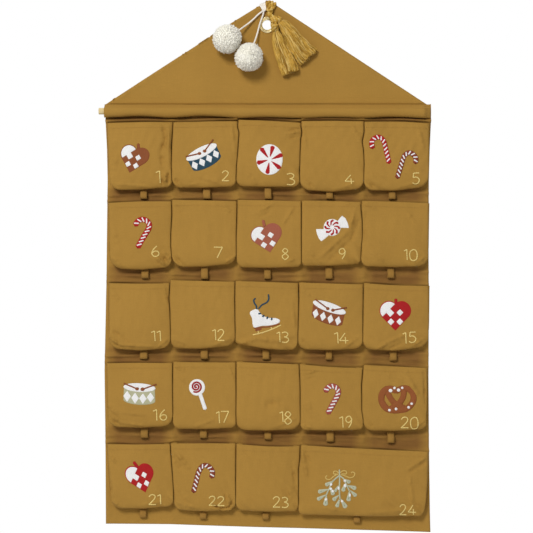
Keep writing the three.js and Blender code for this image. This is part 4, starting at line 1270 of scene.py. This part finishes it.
def mistletoe(e):
    for stem in ([(339.4, 469.8), (339.6, 480), (339.4, 490), (339.8, 498.6)],
                 [(339.4, 475.4), (336, 478.2), (332.6, 481.4), (330.4, 485.4), (329, 489), (326, 495)],
                 [(340, 476), (343.6, 478.6), (345.2, 482), (347, 486), (349.4, 490.6)]):
        e.line(stem, 1.5, "mist", 0.0008)
    for base, tip, width in (
            ((333.6, 480.6), (326, 485), 4.2), ((329.6, 488.8), (318.8, 491.8), 4.4),
            ((327, 494), (317.8, 499.2), 4.0), ((326.4, 494), (325.4, 504.6), 5.2),
            ((330, 486.6), (333.2, 494.2), 4.6), ((338.6, 484.8), (335, 491.2), 3.2),
            ((339.2, 494.6), (333.4, 499.8), 4.4), ((340, 498), (336.8, 506.4), 4.2),
            ((340.2, 498), (345.6, 507), 5.0), ((344.2, 479), (349.6, 482.2), 4.4),
            ((345.6, 482.6), (343, 490.6), 4.4), ((346.4, 485), (355.4, 488.2), 4.6),
            ((349.6, 489.8), (355.8, 495.6), 4.2), ((349.6, 489.6), (348.4, 500.4), 4.8)):
        base, tip = np.array(base), np.array(tip)
        e.patch(teardrop(base, tip, width), "mist", 0.0007, 0.0003)
        vein = teardrop(base * 0.5 + tip * 0.5, base * 0.12 + tip * 0.88, width * 0.42)
        e.patch(vein, "mist_dark", 0.0004, 0.0008)
    for x, y, wide, high in (
            (331, 484.4, 1.2, 1.4), (330.8, 488.6, 1.3, 1.3), (332.6, 491, 1.2, 1.5), (338.5, 488, 1.0, 1.8),
            (344.8, 480.6, 1.3, 1.3), (345, 485.4, 1.4, 1.8), (326, 499.2, 1.3, 1.3), (342, 501, 1.2, 1.3),
            (349.8, 495, 1.0, 1.8)):
        e.patch(disc((x, y), wide, high, 14), "white", 0.0006, 0.0011)
    for loop in ([(338.8, 473.2), (336.4, 471.2), (333.8, 471.6), (334, 474), (338, 474)],
                 [(340.4, 472.6), (343, 470.8), (346.2, 471.4), (346, 473.8), (341.6, 474)],
                 [(337.6, 474.4), (334, 476), (330.6, 479), (327.2, 479.4), (325.6, 477.4), (327, 475.4)],
                 [(341.4, 474.6), (345.6, 476), (350, 477.6), (353.6, 476.4), (354.8, 473.6), (353, 472),
                  (351, 472.8)]):
        e.stitched(loop, 1.15, "gold", 0.0026)


OTHER_MOTIFS = {3: peppermint, 9: wrapped_sweet, 13: skate, 17: lollipop, 20: pretzel, 24: mistletoe}


def motif_on(e, number):
    """The pocket's ornament, if it has one."""
    for make, table in ((heart, HEARTS), (drum, DRUMS)):
        if number in table:
            make(e, *table[number])
    for one in CANES.get(number, ()):
        cane(e, *one)
    if number in OTHER_MOTIFS:
        OTHER_MOTIFS[number](e)


# Stitched numbers: each digit's strokes, in shares of its width and height, and each digit's box in pixels

DIGITS = {
    "0": [[(0.33, 1), (0.05, 0.8), (0, 0.45), (0.12, 0.08), (0.38, 0), (0.62, 0.12), (0.7, 0.5), (0.6, 0.88),
           (0.33, 1)]],
    "1": [[(0.02, 0.86), (0.62, 1)], [(0.62, 1), (0.66, 0.5), (0.72, 0)]],
    "2": [[(0.02, 0.78), (0.16, 0.95), (0.42, 1), (0.62, 0.84), (0.56, 0.6), (0.3, 0.3), (0, 0.02)],
          [(0, 0.02), (0.7, 0.02)]],
    "3": [[(0, 0.93), (0.34, 1), (0.6, 0.84), (0.5, 0.62), (0.24, 0.54)],
          [(0.24, 0.54), (0.6, 0.42), (0.66, 0.2), (0.4, 0.02), (0, 0.06)]],
    "4": [[(0.5, 1), (0, 0.3)], [(0, 0.3), (0.8, 0.28)], [(0.52, 0.62), (0.56, 0)]],
    "5": [[(0.66, 1), (0.1, 0.98)], [(0.1, 0.98), (0.06, 0.58)],
          [(0.06, 0.58), (0.4, 0.62), (0.66, 0.4), (0.56, 0.1), (0.26, 0), (0, 0.1)]],
    "6": [[(0.46, 1), (0.14, 0.66), (0, 0.3), (0.18, 0.03), (0.5, 0.04), (0.66, 0.28), (0.5, 0.5), (0.2, 0.48),
           (0.04, 0.32)]],
    "7": [[(0, 0.98), (0.8, 0.98)], [(0.8, 0.98), (0.3, 0)]],
    "8": [[(0.34, 0.54), (0.06, 0.76), (0.3, 1), (0.58, 0.78), (0.34, 0.54), (0.02, 0.28), (0.3, 0),
           (0.64, 0.26), (0.34, 0.54)]],
    "9": [[(0.62, 0.74), (0.4, 1), (0.06, 0.86), (0.06, 0.56), (0.36, 0.46), (0.6, 0.66)],
          [(0.62, 0.8), (0.56, 0.4), (0.3, 0)]],
}
NUMBERS = {
    1: [(155.8, 171, 160.2, 183)], 2: [(222, 171, 229, 181)], 3: [(287, 173.5, 295, 185)],
    4: [(345, 175, 353, 184)], 5: [(412.5, 173, 419.5, 184)], 6: [(152, 246, 159.5, 256.5)],
    7: [(214, 247, 221.4, 258)], 8: [(282, 248.5, 289, 259.5)], 9: [(339, 248.5, 346, 259)],
    10: [(403.8, 249.5, 407, 260), (409.5, 249.5, 417, 260.5)],
    11: [(151.2, 331, 155.2, 341), (156.8, 331, 160.7, 341)],
    12: [(212.2, 329.5, 215.8, 340), (217.7, 329.5, 224.4, 340.5)],
    13: [(276.5, 332, 280, 342), (282, 332, 288.8, 342.5)],
    14: [(334, 332.5, 338, 343.5), (339.5, 333, 347.2, 343.5)],
    15: [(402.4, 332.5, 406, 343.5), (409, 332, 416, 342.5)],
    16: [(153.2, 409.5, 157, 420.5), (160, 409.5, 167.2, 420)],
    17: [(216, 411.5, 219.5, 423), (221, 411, 227.8, 422.5)],
    18: [(279.4, 411.5, 283, 421.5), (284.5, 411.5, 292, 424)],
    19: [(339, 416.5, 343, 427.5), (345.6, 416, 352.4, 427.5)],
    20: [(401, 417, 408.5, 428), (410.5, 417, 418, 429)],
    21: [(149, 494.5, 156, 504.5), (157.4, 494.5, 160.8, 504)],
    22: [(209, 496, 215.6, 505.4), (217.4, 496.4, 224.4, 505.8)],
    23: [(273, 496.5, 280, 507), (282, 497, 288.4, 507.5)],
    24: [(399.6, 504.5, 406.2, 514.8), (408, 505, 414.8, 514.8)],
}


def number_on(e, number):
    """The pocket's number in back stitch."""
    for digit, (x0, y0, x1, y1) in zip(str(number), NUMBERS[number]):
        width, height = (x1 - x0) / 0.7, y1 - y0
        for stroke in DIGITS[digit]:
            e.stitched([(x0 + u * width, y1 - v * height) for u, v in stroke], 1.15, "number", 0.0030)


# Tape loops: left, right and lowest pixels, and the lean of the tape in pixels

LOOPS = {
    1: (139.8, 147.3, 200, 0.2), 2: (202.6, 210.6, 200, 0.5), 3: (264.3, 271.8, 200, 0.2),
    4: (326, 333.4, 200, 0),
    5: (388.6, 396, 200.4, 0.2), 6: (140.9, 149, 279.6, 0.2), 7: (200.6, 208.4, 280.4, 0.3),
    8: (263.8, 271.2, 280.2, 0.2), 9: (325.2, 333, 280, 0.2), 10: (387.2, 394.8, 279.4, 0.2),
    11: (139.6, 147.8, 360.6, 0), 12: (200.2, 208.2, 360.5, 0.2), 13: (262.2, 269.8, 361, 0.1),
    14: (325.6, 332.8, 361, 0), 15: (389.6, 397.2, 362, 0.2), 16: (140.2, 148.3, 439.4, 0.2),
    17: (199.4, 207.3, 439.6, 0.1), 18: (264.2, 271.8, 441, 0.1), 19: (326.2, 334.3, 443.4, 0.2),
    20: (387.2, 394.8, 444.4, 0.3), 21: (139.3, 146.8, 519, 0.1), 22: (199.4, 206.9, 520.4, 0),
    23: (262.2, 269.4, 521, 0.1), 24: (353.4, 360.8, 524.4, 0.2),
}


def tape_loop(number, pocket):
    """A folded tape, sewn in under the pocket and open along X."""
    x0, x1, low, lean = LOOPS[number]
    left, right = place(x0, 0, -0.012)[0], place(x1, 0, -0.012)[0]
    low_z, top_z = place(0, low - 1.1, -0.012)[2], pocket.low_z + 0.0035
    middle, drop, depth = (left + right) / 2, top_z - low_z, 0.0112
    base = float(body_y(middle, low_z)) - 0.0004
    line = [(base - 0.0026, top_z), (base - depth * 0.62, top_z - drop * 0.3),
            (base - depth * 0.99, top_z - drop * 0.6), (base - depth * 0.92, top_z - drop * 0.84),
            (base - depth * 0.66, low_z + 0.0004), (base - depth * 0.28, low_z + 0.0004),
            (base - 0.0008, top_z - drop * 0.85), (base - 0.0006, top_z - drop * 0.55), (base - 0.0004, top_z)]
    line = curve(line, 44)
    columns = 13
    verts = []
    left, right = left + 0.0003, right - 0.0009
    tilt = np.random.RandomState(600 + number).uniform(-0.02, 0.02)
    for y, z in line:
        for i in range(columns):
            s = i / (columns - 1)
            x = left + (right - left) * s + lean * PIXEL * (top_z - z) / drop
            selvedge = 0.0002 * (abs(2 * s - 1) > 0.8)
            curl = 0.0024 * abs(2 * s - 1) ** 2.6 * min(1.0, max(0.0, (base - y) / 0.004))
            verts.append((x, y - selvedge + curl + tilt * (s - 0.5) * 0.01, z + tilt * (x - middle)))
    faces = grid_faces(len(line), columns)
    piece = new_mesh(f"loop_{number:02d}_tape", verts, faces, tape, "hanging")
    face_front(piece, len(faces) // 4)
    solidify(piece, POCKET_THICK)
    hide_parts(f"loop_{number:02d}")


# Eyelet and dowel

def lathe(name, profile, material, body, steps=96, axis="y", centre=(0, 0, 0), closed=True):
    """A turned piece. profile is (radius, along) points, round the Y or the X axis."""
    verts = []
    for t in circle(steps):
        for r, along in profile:
            a, b = r * math.cos(t), r * math.sin(t)
            p = (a, along, b) if axis == "y" else (along, a, b)
            verts.append(np.array(p) + np.array(centre))
    count = len(profile)
    faces = []
    for s in range(steps):
        n = (s + 1) % steps
        for k in range(count if closed else count - 1):
            m = (k + 1) % count
            faces.append((s * count + k, n * count + k, n * count + m, s * count + m))
    piece = new_mesh(name, verts, faces, material, body)
    mesh = bmesh.new()
    mesh.from_mesh(piece.data)
    bmesh.ops.remove_doubles(mesh, verts=mesh.verts, dist=1e-6)
    bmesh.ops.recalc_face_normals(mesh, faces=mesh.faces)
    mesh.to_mesh(piece.data)
    mesh.free()
    return piece


def eyelet():
    half = np.linspace(math.pi, 0, 16)
    roll = [(0.0139 + 0.0012 * math.cos(t), -0.0040 - 0.0014 * math.sin(t)) for t in half]
    lip = [(0.0099 + 0.0009 * math.cos(t), -0.0042 - 0.0017 * math.sin(t)) for t in half]
    washer = [(0.0150, -0.0037), (0.0101, -0.0036), (0.0101, 0.0002), (0.0135, 0.0002), (0.0135, 0.0006)]
    profile = [(0.0090, 0.0006), (0.0090, -0.0038)] + lip + roll + washer
    ring = lathe("eyelet_ring", profile, brass, "hanging")
    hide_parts("eyelet")


def dowel():
    low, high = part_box("dowel")
    radius = (high[2] - low[2]) / 2
    centre = (0, (low[1] + high[1]) / 2, (low[2] + high[2]) / 2)
    bevel, quarter = 0.0009, np.linspace(0, math.pi / 2, 6)
    near = [(radius - bevel * (1 - math.sin(t)), low[0] + bevel * (1 - math.cos(t))) for t in quarter]
    far = [(radius - bevel * (1 - math.cos(t)), high[0] - bevel * (1 - math.sin(t))) for t in quarter]
    profile = [(0.0, low[0])] + near + far + [(0.0, high[0])]
    rod = lathe("dowel_rod_wood", profile, wood, "dowel_rod", 64, "x", centre, closed=False)
    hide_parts("dowel")


# White cord

CORD_RADIUS = 0.0015
CORD_LAY = (3, 0.009)
LEFT_CORD = [
    (-10.1, -7.4, 23.2), (-12.8, -7.4, 21.4), (-15.5, -7.5, 19.2), (-18.2, -7.6, 16.7), (-20.9, -7.8, 14.0),
    (-23.7, -8.1, 11.2), (-26.6, -8.6, 8.4), (-29.6, -9.3, 5.6), (-32.7, -10.3, 2.9), (-35.9, -11.5, 0.2),
    (-39.2, -12.9, -2.4), (-42.6, -14.4, -5.1), (-46.1, -16.0, -7.9), (-49.6, -17.7, -10.8),
    (-53.1, -19.6, -13.8), (-56.2, -21.4, -16.6),
]
RIGHT_CORD = [
    (-6.8, -8.0, 21.4), (-7.6, -8.4, 17.8), (-8.9, -8.6, 14.0), (-10.3, -8.7, 10.1), (-11.7, -8.7, 6.1),
    (-13.1, -8.8, 2.0), (-14.4, -9.0, -2.2), (-15.5, -9.3, -6.4), (-16.5, -9.9, -10.6), (-17.5, -10.8, -14.7),
    (-18.6, -12.0, -18.8), (-19.7, -13.5, -22.7), (-20.9, -15.2, -26.6), (-22.2, -16.9, -30.5),
    (-23.6, -18.5, -34.3), (-25.0, -20.0, -38.1), (-26.3, -21.3, -41.6),
]
POMPOMS = {"left": place(227.4, 39.2, -0.0283), "right": place(248.8, 57.3, -0.0283)}


def pompom(side):
    """A ball of cut wool: a lumpy core under some thousands of strand ends."""
    centre = POMPOMS[side]
    toward = unit(POMPOMS["right" if side == "left" else "left"] - centre)
    rand = np.random.RandomState(7 if side == "left" else 8)
    count = 3800
    k = np.arange(count) + 0.5
    polar = np.arccos(1 - 2 * k / count)
    turn = math.pi * (1 + 5 ** 0.5) * k
    out = np.stack((np.cos(turn) * np.sin(polar), np.sin(turn) * np.sin(polar), np.cos(polar)), axis=1)
    out = unit(out + rand.normal(0, 0.035, out.shape))
    lumps = unit(rand.normal(0, 1, (16, 3)))
    swell = np.exp((out @ lumps.T - 1) * 9).sum(axis=1)
    batch = Batch()
    for n, direction in enumerate(out):
        reach = 0.0246 + 0.0012 * min(swell[n], 1.2) + rand.uniform(-0.0009, 0.0005)
        reach -= 0.0022 * math.exp((float(direction @ toward) - 1) * 5)
        if rand.uniform() < 0.03:
            reach += 0.0012
        bend = rand.normal(0, 0.0009, 3)
        path = [centre + direction * far + bend * share
                for far, share in ((0.0195, 0), (0.0226, 0.3), (reach - 0.001, 0.8), (reach, 1))]
        batch.tube(path, [0.0005, 0.00080, 0.00075, 0.0004], 4)
    sphere = bmesh.new()
    bmesh.ops.create_icosphere(sphere, subdivisions=4, radius=0.0237)
    for v in sphere.verts:
        d = np.array(v.co.normalized())
        lump, dent = float(np.exp((d @ lumps.T - 1) * 9).sum() - 0.6), math.exp((float(d @ toward) - 1) * 5)
        v.co *= 1 + 0.025 * lump - 0.08 * dent
        v.co += Vector(centre)
    batch.add([tuple(v.co) for v in sphere.verts], [[v.index for v in f.verts] for f in sphere.faces])
    sphere.free()
    ball = batch.build(f"pompom_{side}_wool", wool, f"pompom_{side}_body", "wool")
    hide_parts(f"pompom_{side}")
    return ball


def pompom_cord(side, route):
    path = curve(np.array(route) / 1000, 90)
    batch = Batch()
    batch.tube(path, CORD_RADIUS, 16, lay=CORD_LAY)
    piece = batch.build(f"pompom_{side}_cord", white_cord, f"pompom_{side}_body", "white_cord")
    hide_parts(f"pompom_cord_{side}")


def tip_z(x):
    """The gable's edge near its tip."""
    edge = np.array([place(px, py, -0.003)[[0, 2]] for px, py in GABLE_EDGE])
    return float(np.interp(x, edge[:, 0], edge[:, 1]))


def over_tip(low, top_px, radius, front):
    """A turn over the gable's edge, from a low point on the front to the back of the cloth."""
    x = place(top_px, 0)[0]
    top = tip_z(x)
    low = np.array(low)
    return [low, (low[0] * 0.4 + x * 0.6, front, top * 0.55 + low[2] * 0.45), (x, front, top - 0.0015),
            (x, front * 0.55, top + radius * 0.75), (x, -0.0018, top + radius * 0.9), (x, 0.0006, top - 0.0005),
            (x * 0.9, 0.0012, top - 0.007), (x * 0.6, 0.0012, top - 0.014)]


def cord_wrap():
    batch = Batch()
    knot = np.array((-0.0066, -0.0078, 0.0256))
    for n in range(4):
        low = place(262.8 + 1.0 * n, 9.6, -0.0066)
        turn = over_tip(low, 260.4 + 1.55 * n, CORD_RADIUS, -0.0054 - 0.0003 * (n % 2))
        path = [knot + np.array((0.0006 * (n - 1.5), 0, 0))] + turn
        batch.tube(curve(path, 52), CORD_RADIUS, 12, lay=CORD_LAY)
    for k, (size, tilt) in enumerate(((0.0019, 0.3), (0.0017, -1.0))):
        loop = [knot + np.array((size * math.cos(t), -0.0004 + 0.0010 * math.sin(t + k),
                                 size * 0.8 * math.sin(t + tilt)))
                for t in circle(26)]
        batch.tube(loop, CORD_RADIUS * 0.9, 10, lay=CORD_LAY, closed=True)
    for route in (LEFT_CORD, RIGHT_CORD):
        start = np.array(route[0]) / 1000
        batch.tube(curve([knot, (knot + start) / 2 + np.array((0, -0.0006, 0)), start], 12), CORD_RADIUS, 12,
                   lay=CORD_LAY)
    piece = batch.build("white_cord_knot", white_cord, "hanging", "white_cord")
    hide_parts("cord_wrap")


# Gold yarn

UPPER_KNOT = place(277.4, 19.7, -0.0136)
LOWER_KNOT = place(275.1, 27.9, -0.0136)
GOLDS = [gold_yarn, gold_dark, gold_light]


def rope(batch, path, radius, pitch=0.011, steps=None, shades=(0, 0, 2)):
    """A thick strand of plies twisted round each other."""
    path = curve(path, steps or max(16, int(path_length(curve(path, 60)) / 0.0011)))
    side, up = frames(path)
    run = run_along(path)
    for k, shade in enumerate(shades):
        turn = 2 * math.pi * (run / pitch + k / len(shades))
        line = path + (side * np.cos(turn)[:, None] + up * np.sin(turn)[:, None]) * radius * 0.5
        batch.tube(line, radius * 0.58, 9, index=shade, lay=(4, 0.006))


def yarn_knot(batch, centre, radius, seed):
    """A knot of thick yarn: turns round each other, pulled tight."""
    rand = np.random.RandomState(seed)
    for k in range(7):
        normal = rand.normal(0, 1, 3)
        normal[1] *= 0.4
        normal = unit(normal)
        a = unit(np.cross(normal, (0, 1, 0.3)))
        b = np.cross(normal, a)
        size = radius * rand.uniform(0.62, 0.76)
        shift = rand.normal(0, radius * 0.09, 3)
        loop = [centre + shift + (a * math.cos(t) + b * math.sin(t)) * size
                for t in np.linspace(0.2, 2 * math.pi - 0.1, 18)]
        rope(batch, loop, radius * 0.27, 0.008, 34, ((0, 0, 2), (0, 1, 0), (2, 0, 1))[k % 3])


def yarn_wrap():
    batch = Batch()
    turns = (((268.4, 11.4), 266.9, 0.0027, (1, 0, 1)), ((269.4, 11.8), 269.5, 0.0029, (0, 1, 0)),
             ((270.6, 11.8), 272.1, 0.0029, (0, 2, 0)), ((271.6, 11), 275.0, 0.0026, (0, 0, 1)))
    for n, (low, top, size, shades) in enumerate(turns):
        turn = over_tip(place(*low, -0.0084 - 0.0006 * (n % 2)), top, size, -0.0070 - 0.0005 * (n % 2))
        rope(batch, [place(269.4 + 0.4 * n, 14.6, -0.0088)] + turn, size, 0.010, 56, shades)
    rope(batch, [place(266.8, 9.4, -0.0098), place(269.4, 10.8, -0.0124), place(272.8, 8.8, -0.0102)], 0.0023,
         0.008)
    rope(batch, [place(268.4, 11, -0.0095), place(270.2, 14, -0.0112), place(273.4, 16.8, -0.0128), UPPER_KNOT],
         0.0027)
    rope(batch, [place(267.8, 13, -0.0090), place(270, 16.6, -0.0100), place(273.4, 19.6, -0.0120), UPPER_KNOT],
         0.0026, shades=(0, 1, 0))
    rope(batch, [place(269.6, 14.4, -0.0095), place(272, 18, -0.0108), place(272.4, 22.8, -0.0116),
                 place(273, 26.6, -0.0122), LOWER_KNOT], 0.0028, shades=(0, 2, 1))
    rope(batch, [place(272.2, 16.2, -0.0085), place(274.8, 20.6, -0.0100), place(274.9, 24.6, -0.0110),
                 LOWER_KNOT], 0.0026)
    rope(batch, [UPPER_KNOT, (UPPER_KNOT + LOWER_KNOT) / 2 + np.array((-0.0016, -0.0028, 0)), LOWER_KNOT],
         0.0026, shades=(0, 2, 0))
    rope(batch, [(0.0112, 0.0012, 0.014), (0.0078, 0.0014, 0.006), (0.0074, -0.0008, -0.001),
                 (0.0090, -0.0075, -0.0050), LOWER_KNOT], 0.0013, 0.008)
    yarn_knot(batch, UPPER_KNOT, 0.0084, 5)
    yarn_knot(batch, LOWER_KNOT, 0.0088, 6)
    yarn_knot(batch, place(272.9, 21.4, -0.0122), 0.0052, 9)
    piece = batch.build("gold_yarn_knots", GOLDS, "hanging", "gold_yarn")
    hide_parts("yarn_wrap")


TASSELS = {
    "left": (LOWER_KNOT, 0.0862, 0.032, 19.6, [-0.15, -0.29, -0.4, -0.49, -0.53, -0.53, -0.5],
             [0.12, 0.165, 0.25, 0.31, 0.40, 0.44, 0.47]),
    "right": (UPPER_KNOT, 0.090, 0.040, 40.6, [-0.08, -0.13, -0.2, -0.3, -0.42, -0.5, -0.58],
              [0.13, 0.3, 0.35, 0.38, 0.385, 0.4, 0.5]),
}
TASSEL_SHARES = [0, 0.08, 0.18, 0.35, 0.58, 0.79, 1]


def tassel(side):
    """A fan of gold threads over a solid middle, lying on the gable below its knot."""
    knot, length, width, angle, low, high = TASSELS[side]
    tilt = math.radians(angle)
    along = np.array((math.sin(tilt), 0, -math.cos(tilt)))
    across = np.array((math.cos(tilt), 0, math.sin(tilt)))
    forward = np.array((0, -1, 0))
    rand = np.random.RandomState(30 if side == "left" else 31)
    batch = Batch()
    start, rest_y = 0.0050, -0.0106

    def point(t, u, w, reach):
        lo, hi = np.interp(t, TASSEL_SHARES, low), np.interp(t, TASSEL_SHARES, high)
        thick = 0.0066 * np.interp(t, TASSEL_SHARES, [0.5, 0.62, 0.72, 0.8, 0.9, 0.97, 1])
        centre = knot + along * (start + (reach - start) * t) + across * width * (lo + hi) / 2
        centre[1] = knot[1] + (rest_y - knot[1]) * min(1, 2 * t)
        return centre + across * width * (hi - lo) / 2 * u + forward * thick * w

    rows, around = 16, 28
    rings = [[point(t, 0.86 * math.cos(a), 0.80 * math.sin(a), length - 0.003) for a in circle(around)]
             for t in np.linspace(0.02, 1, rows)]
    core = [p for ring in rings for p in ring] + [np.mean(rings[0], axis=0), np.mean(rings[-1], axis=0)]
    faces = grid_faces(rows, around, wrap=True)
    faces += [(len(core) - 2, (i + 1) % around, i) for i in range(around)]
    last = (rows - 1) * around
    faces += [(len(core) - 1, last + i, last + (i + 1) % around) for i in range(around)]
    batch.add(core, faces, 1)
    locks = [(rand.uniform(0, 2 * math.pi), rand.uniform(0, 2 * math.pi),
              rand.uniform(0.0004, 0.0011)) for _ in range(22)]
    for n in range(300):
        where, phase, wave = locks[n % len(locks)]
        turn = where + rand.normal(0, 0.16)
        radial = math.sqrt(rand.uniform(0.62, 1.0))
        reach = length + 0.0012 * math.sin(where * 3) + rand.uniform(-0.0016, 0.0010)
        own, wobble = rand.uniform(0, 2 * math.pi), rand.uniform(0.0002, 0.0010)
        pace = rand.uniform(12, 30)
        path = []
        for t in np.linspace(0, 1, 24):
            p = point(t, radial * math.cos(turn), radial * math.sin(turn) * 0.96, reach)
            p = p + (across * math.sin(8 * t + phase) + forward * math.cos(6 * t + phase)) * wave * t
            shake = across * math.sin(pace * t + own) + forward * math.cos(0.8 * pace * t + own)
            path.append(p + shake * wobble * t ** 0.5)
        path = np.array(path)
        path[:, 1] = np.minimum(path[:, 1], -0.0044)
        chance = rand.uniform()
        shade = 0 if chance < 0.62 else 1 if chance < 0.82 else 2
        batch.tube(curve(path, 40), 0.00058, 5, index=shade)
    piece = batch.build(f"tassel_{side}_threads", GOLDS, f"tassel_{side}_body", "gold_yarn")
    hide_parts(f"tassel_{side}")


# Making

left_ball, right_ball = pompom("left"), pompom("right")
pompom_cord("left", LEFT_CORD)
pompom_cord("right", RIGHT_CORD)
body_panel()
gable()
for number in range(1, 25):
    pocket = Pocket(number)
    stitches = Embroidery(pocket)
    motif_on(stitches, number)
    number_on(stitches, number)
    stitches.build()
    pocket.stitch_hem()
    tape_loop(number, pocket)
    pocket.finish()
eyelet()
dowel()
cord_wrap()
yarn_wrap()
tassel("left")
tassel("right")

# Floor, light and background

scene = bpy.context.scene
scene.view_settings.view_transform = "Standard"
floor_data = bpy.data.meshes.new("floor")
FLOOR_Z = -1.35
floor_data.from_pydata([(-2.2, -2.2, FLOOR_Z), (2.2, -2.2, FLOOR_Z), (2.2, 2.0, FLOOR_Z), (-2.2, 2.0, FLOOR_Z)],
                       [], [(0, 1, 2, 3)])
floor = bpy.data.objects.new("floor", floor_data)
scene.collection.objects.link(floor)
floor_nodes = Nodes("floor", 0.9)
floor_nodes.colour(floor_nodes.mix(floor_nodes.noise((3, 3, 3)), rgb(238, 238, 238), rgb(246, 246, 246)))
floor_data.materials.append(floor_nodes.material)

world = bpy.data.worlds.new("world")
scene.world = world
world.use_nodes = True
tree = world.node_tree
background = tree.nodes["Background"]
background.inputs["Color"].default_value = (1, 1, 1, 1)
view = add_node(tree, "ShaderNodeTexCoord").outputs["Generated"]
height = add_node(tree, "ShaderNodeSeparateXYZ", {0: view}).outputs["Z"]
fade = add_node(tree, "ShaderNodeMapRange", {
    "Value": height, "From Min": -0.6, "From Max": 0.6, "To Min": 0.12, "To Max": 0.44})
tree.links.new(fade.outputs["Result"], background.inputs["Strength"])
white = add_node(tree, "ShaderNodeBackground", {"Color": (1, 1, 1, 1), "Strength": 1.0})
rays = add_node(tree, "ShaderNodeLightPath").outputs
either = add_node(tree, "ShaderNodeMath", {0: rays["Is Camera Ray"], 1: rays["Is Glossy Ray"]},
                  operation="MAXIMUM")
mixer = add_node(tree, "ShaderNodeMixShader", {
    0: either.outputs[0], 1: background.outputs[0], 2: white.outputs[0]})
tree.links.new(mixer.outputs[0], tree.nodes["World Output"].inputs["Surface"])


def area_light(name, location, target, width, height, power):
    data = bpy.data.lights.new(name, "AREA")
    data.shape = "RECTANGLE"
    data.size, data.size_y = width, height
    data.energy = power
    lamp = bpy.data.objects.new(name, data)
    lamp.location = location
    lamp.rotation_euler = (Vector(target) - Vector(location)).to_track_quat("-Z", "Y").to_euler()
    scene.collection.objects.link(lamp)


area_light("key", (-1.3, -3.7, 1.75), (0, 0, -0.45), 1.2, 1.2, 118)
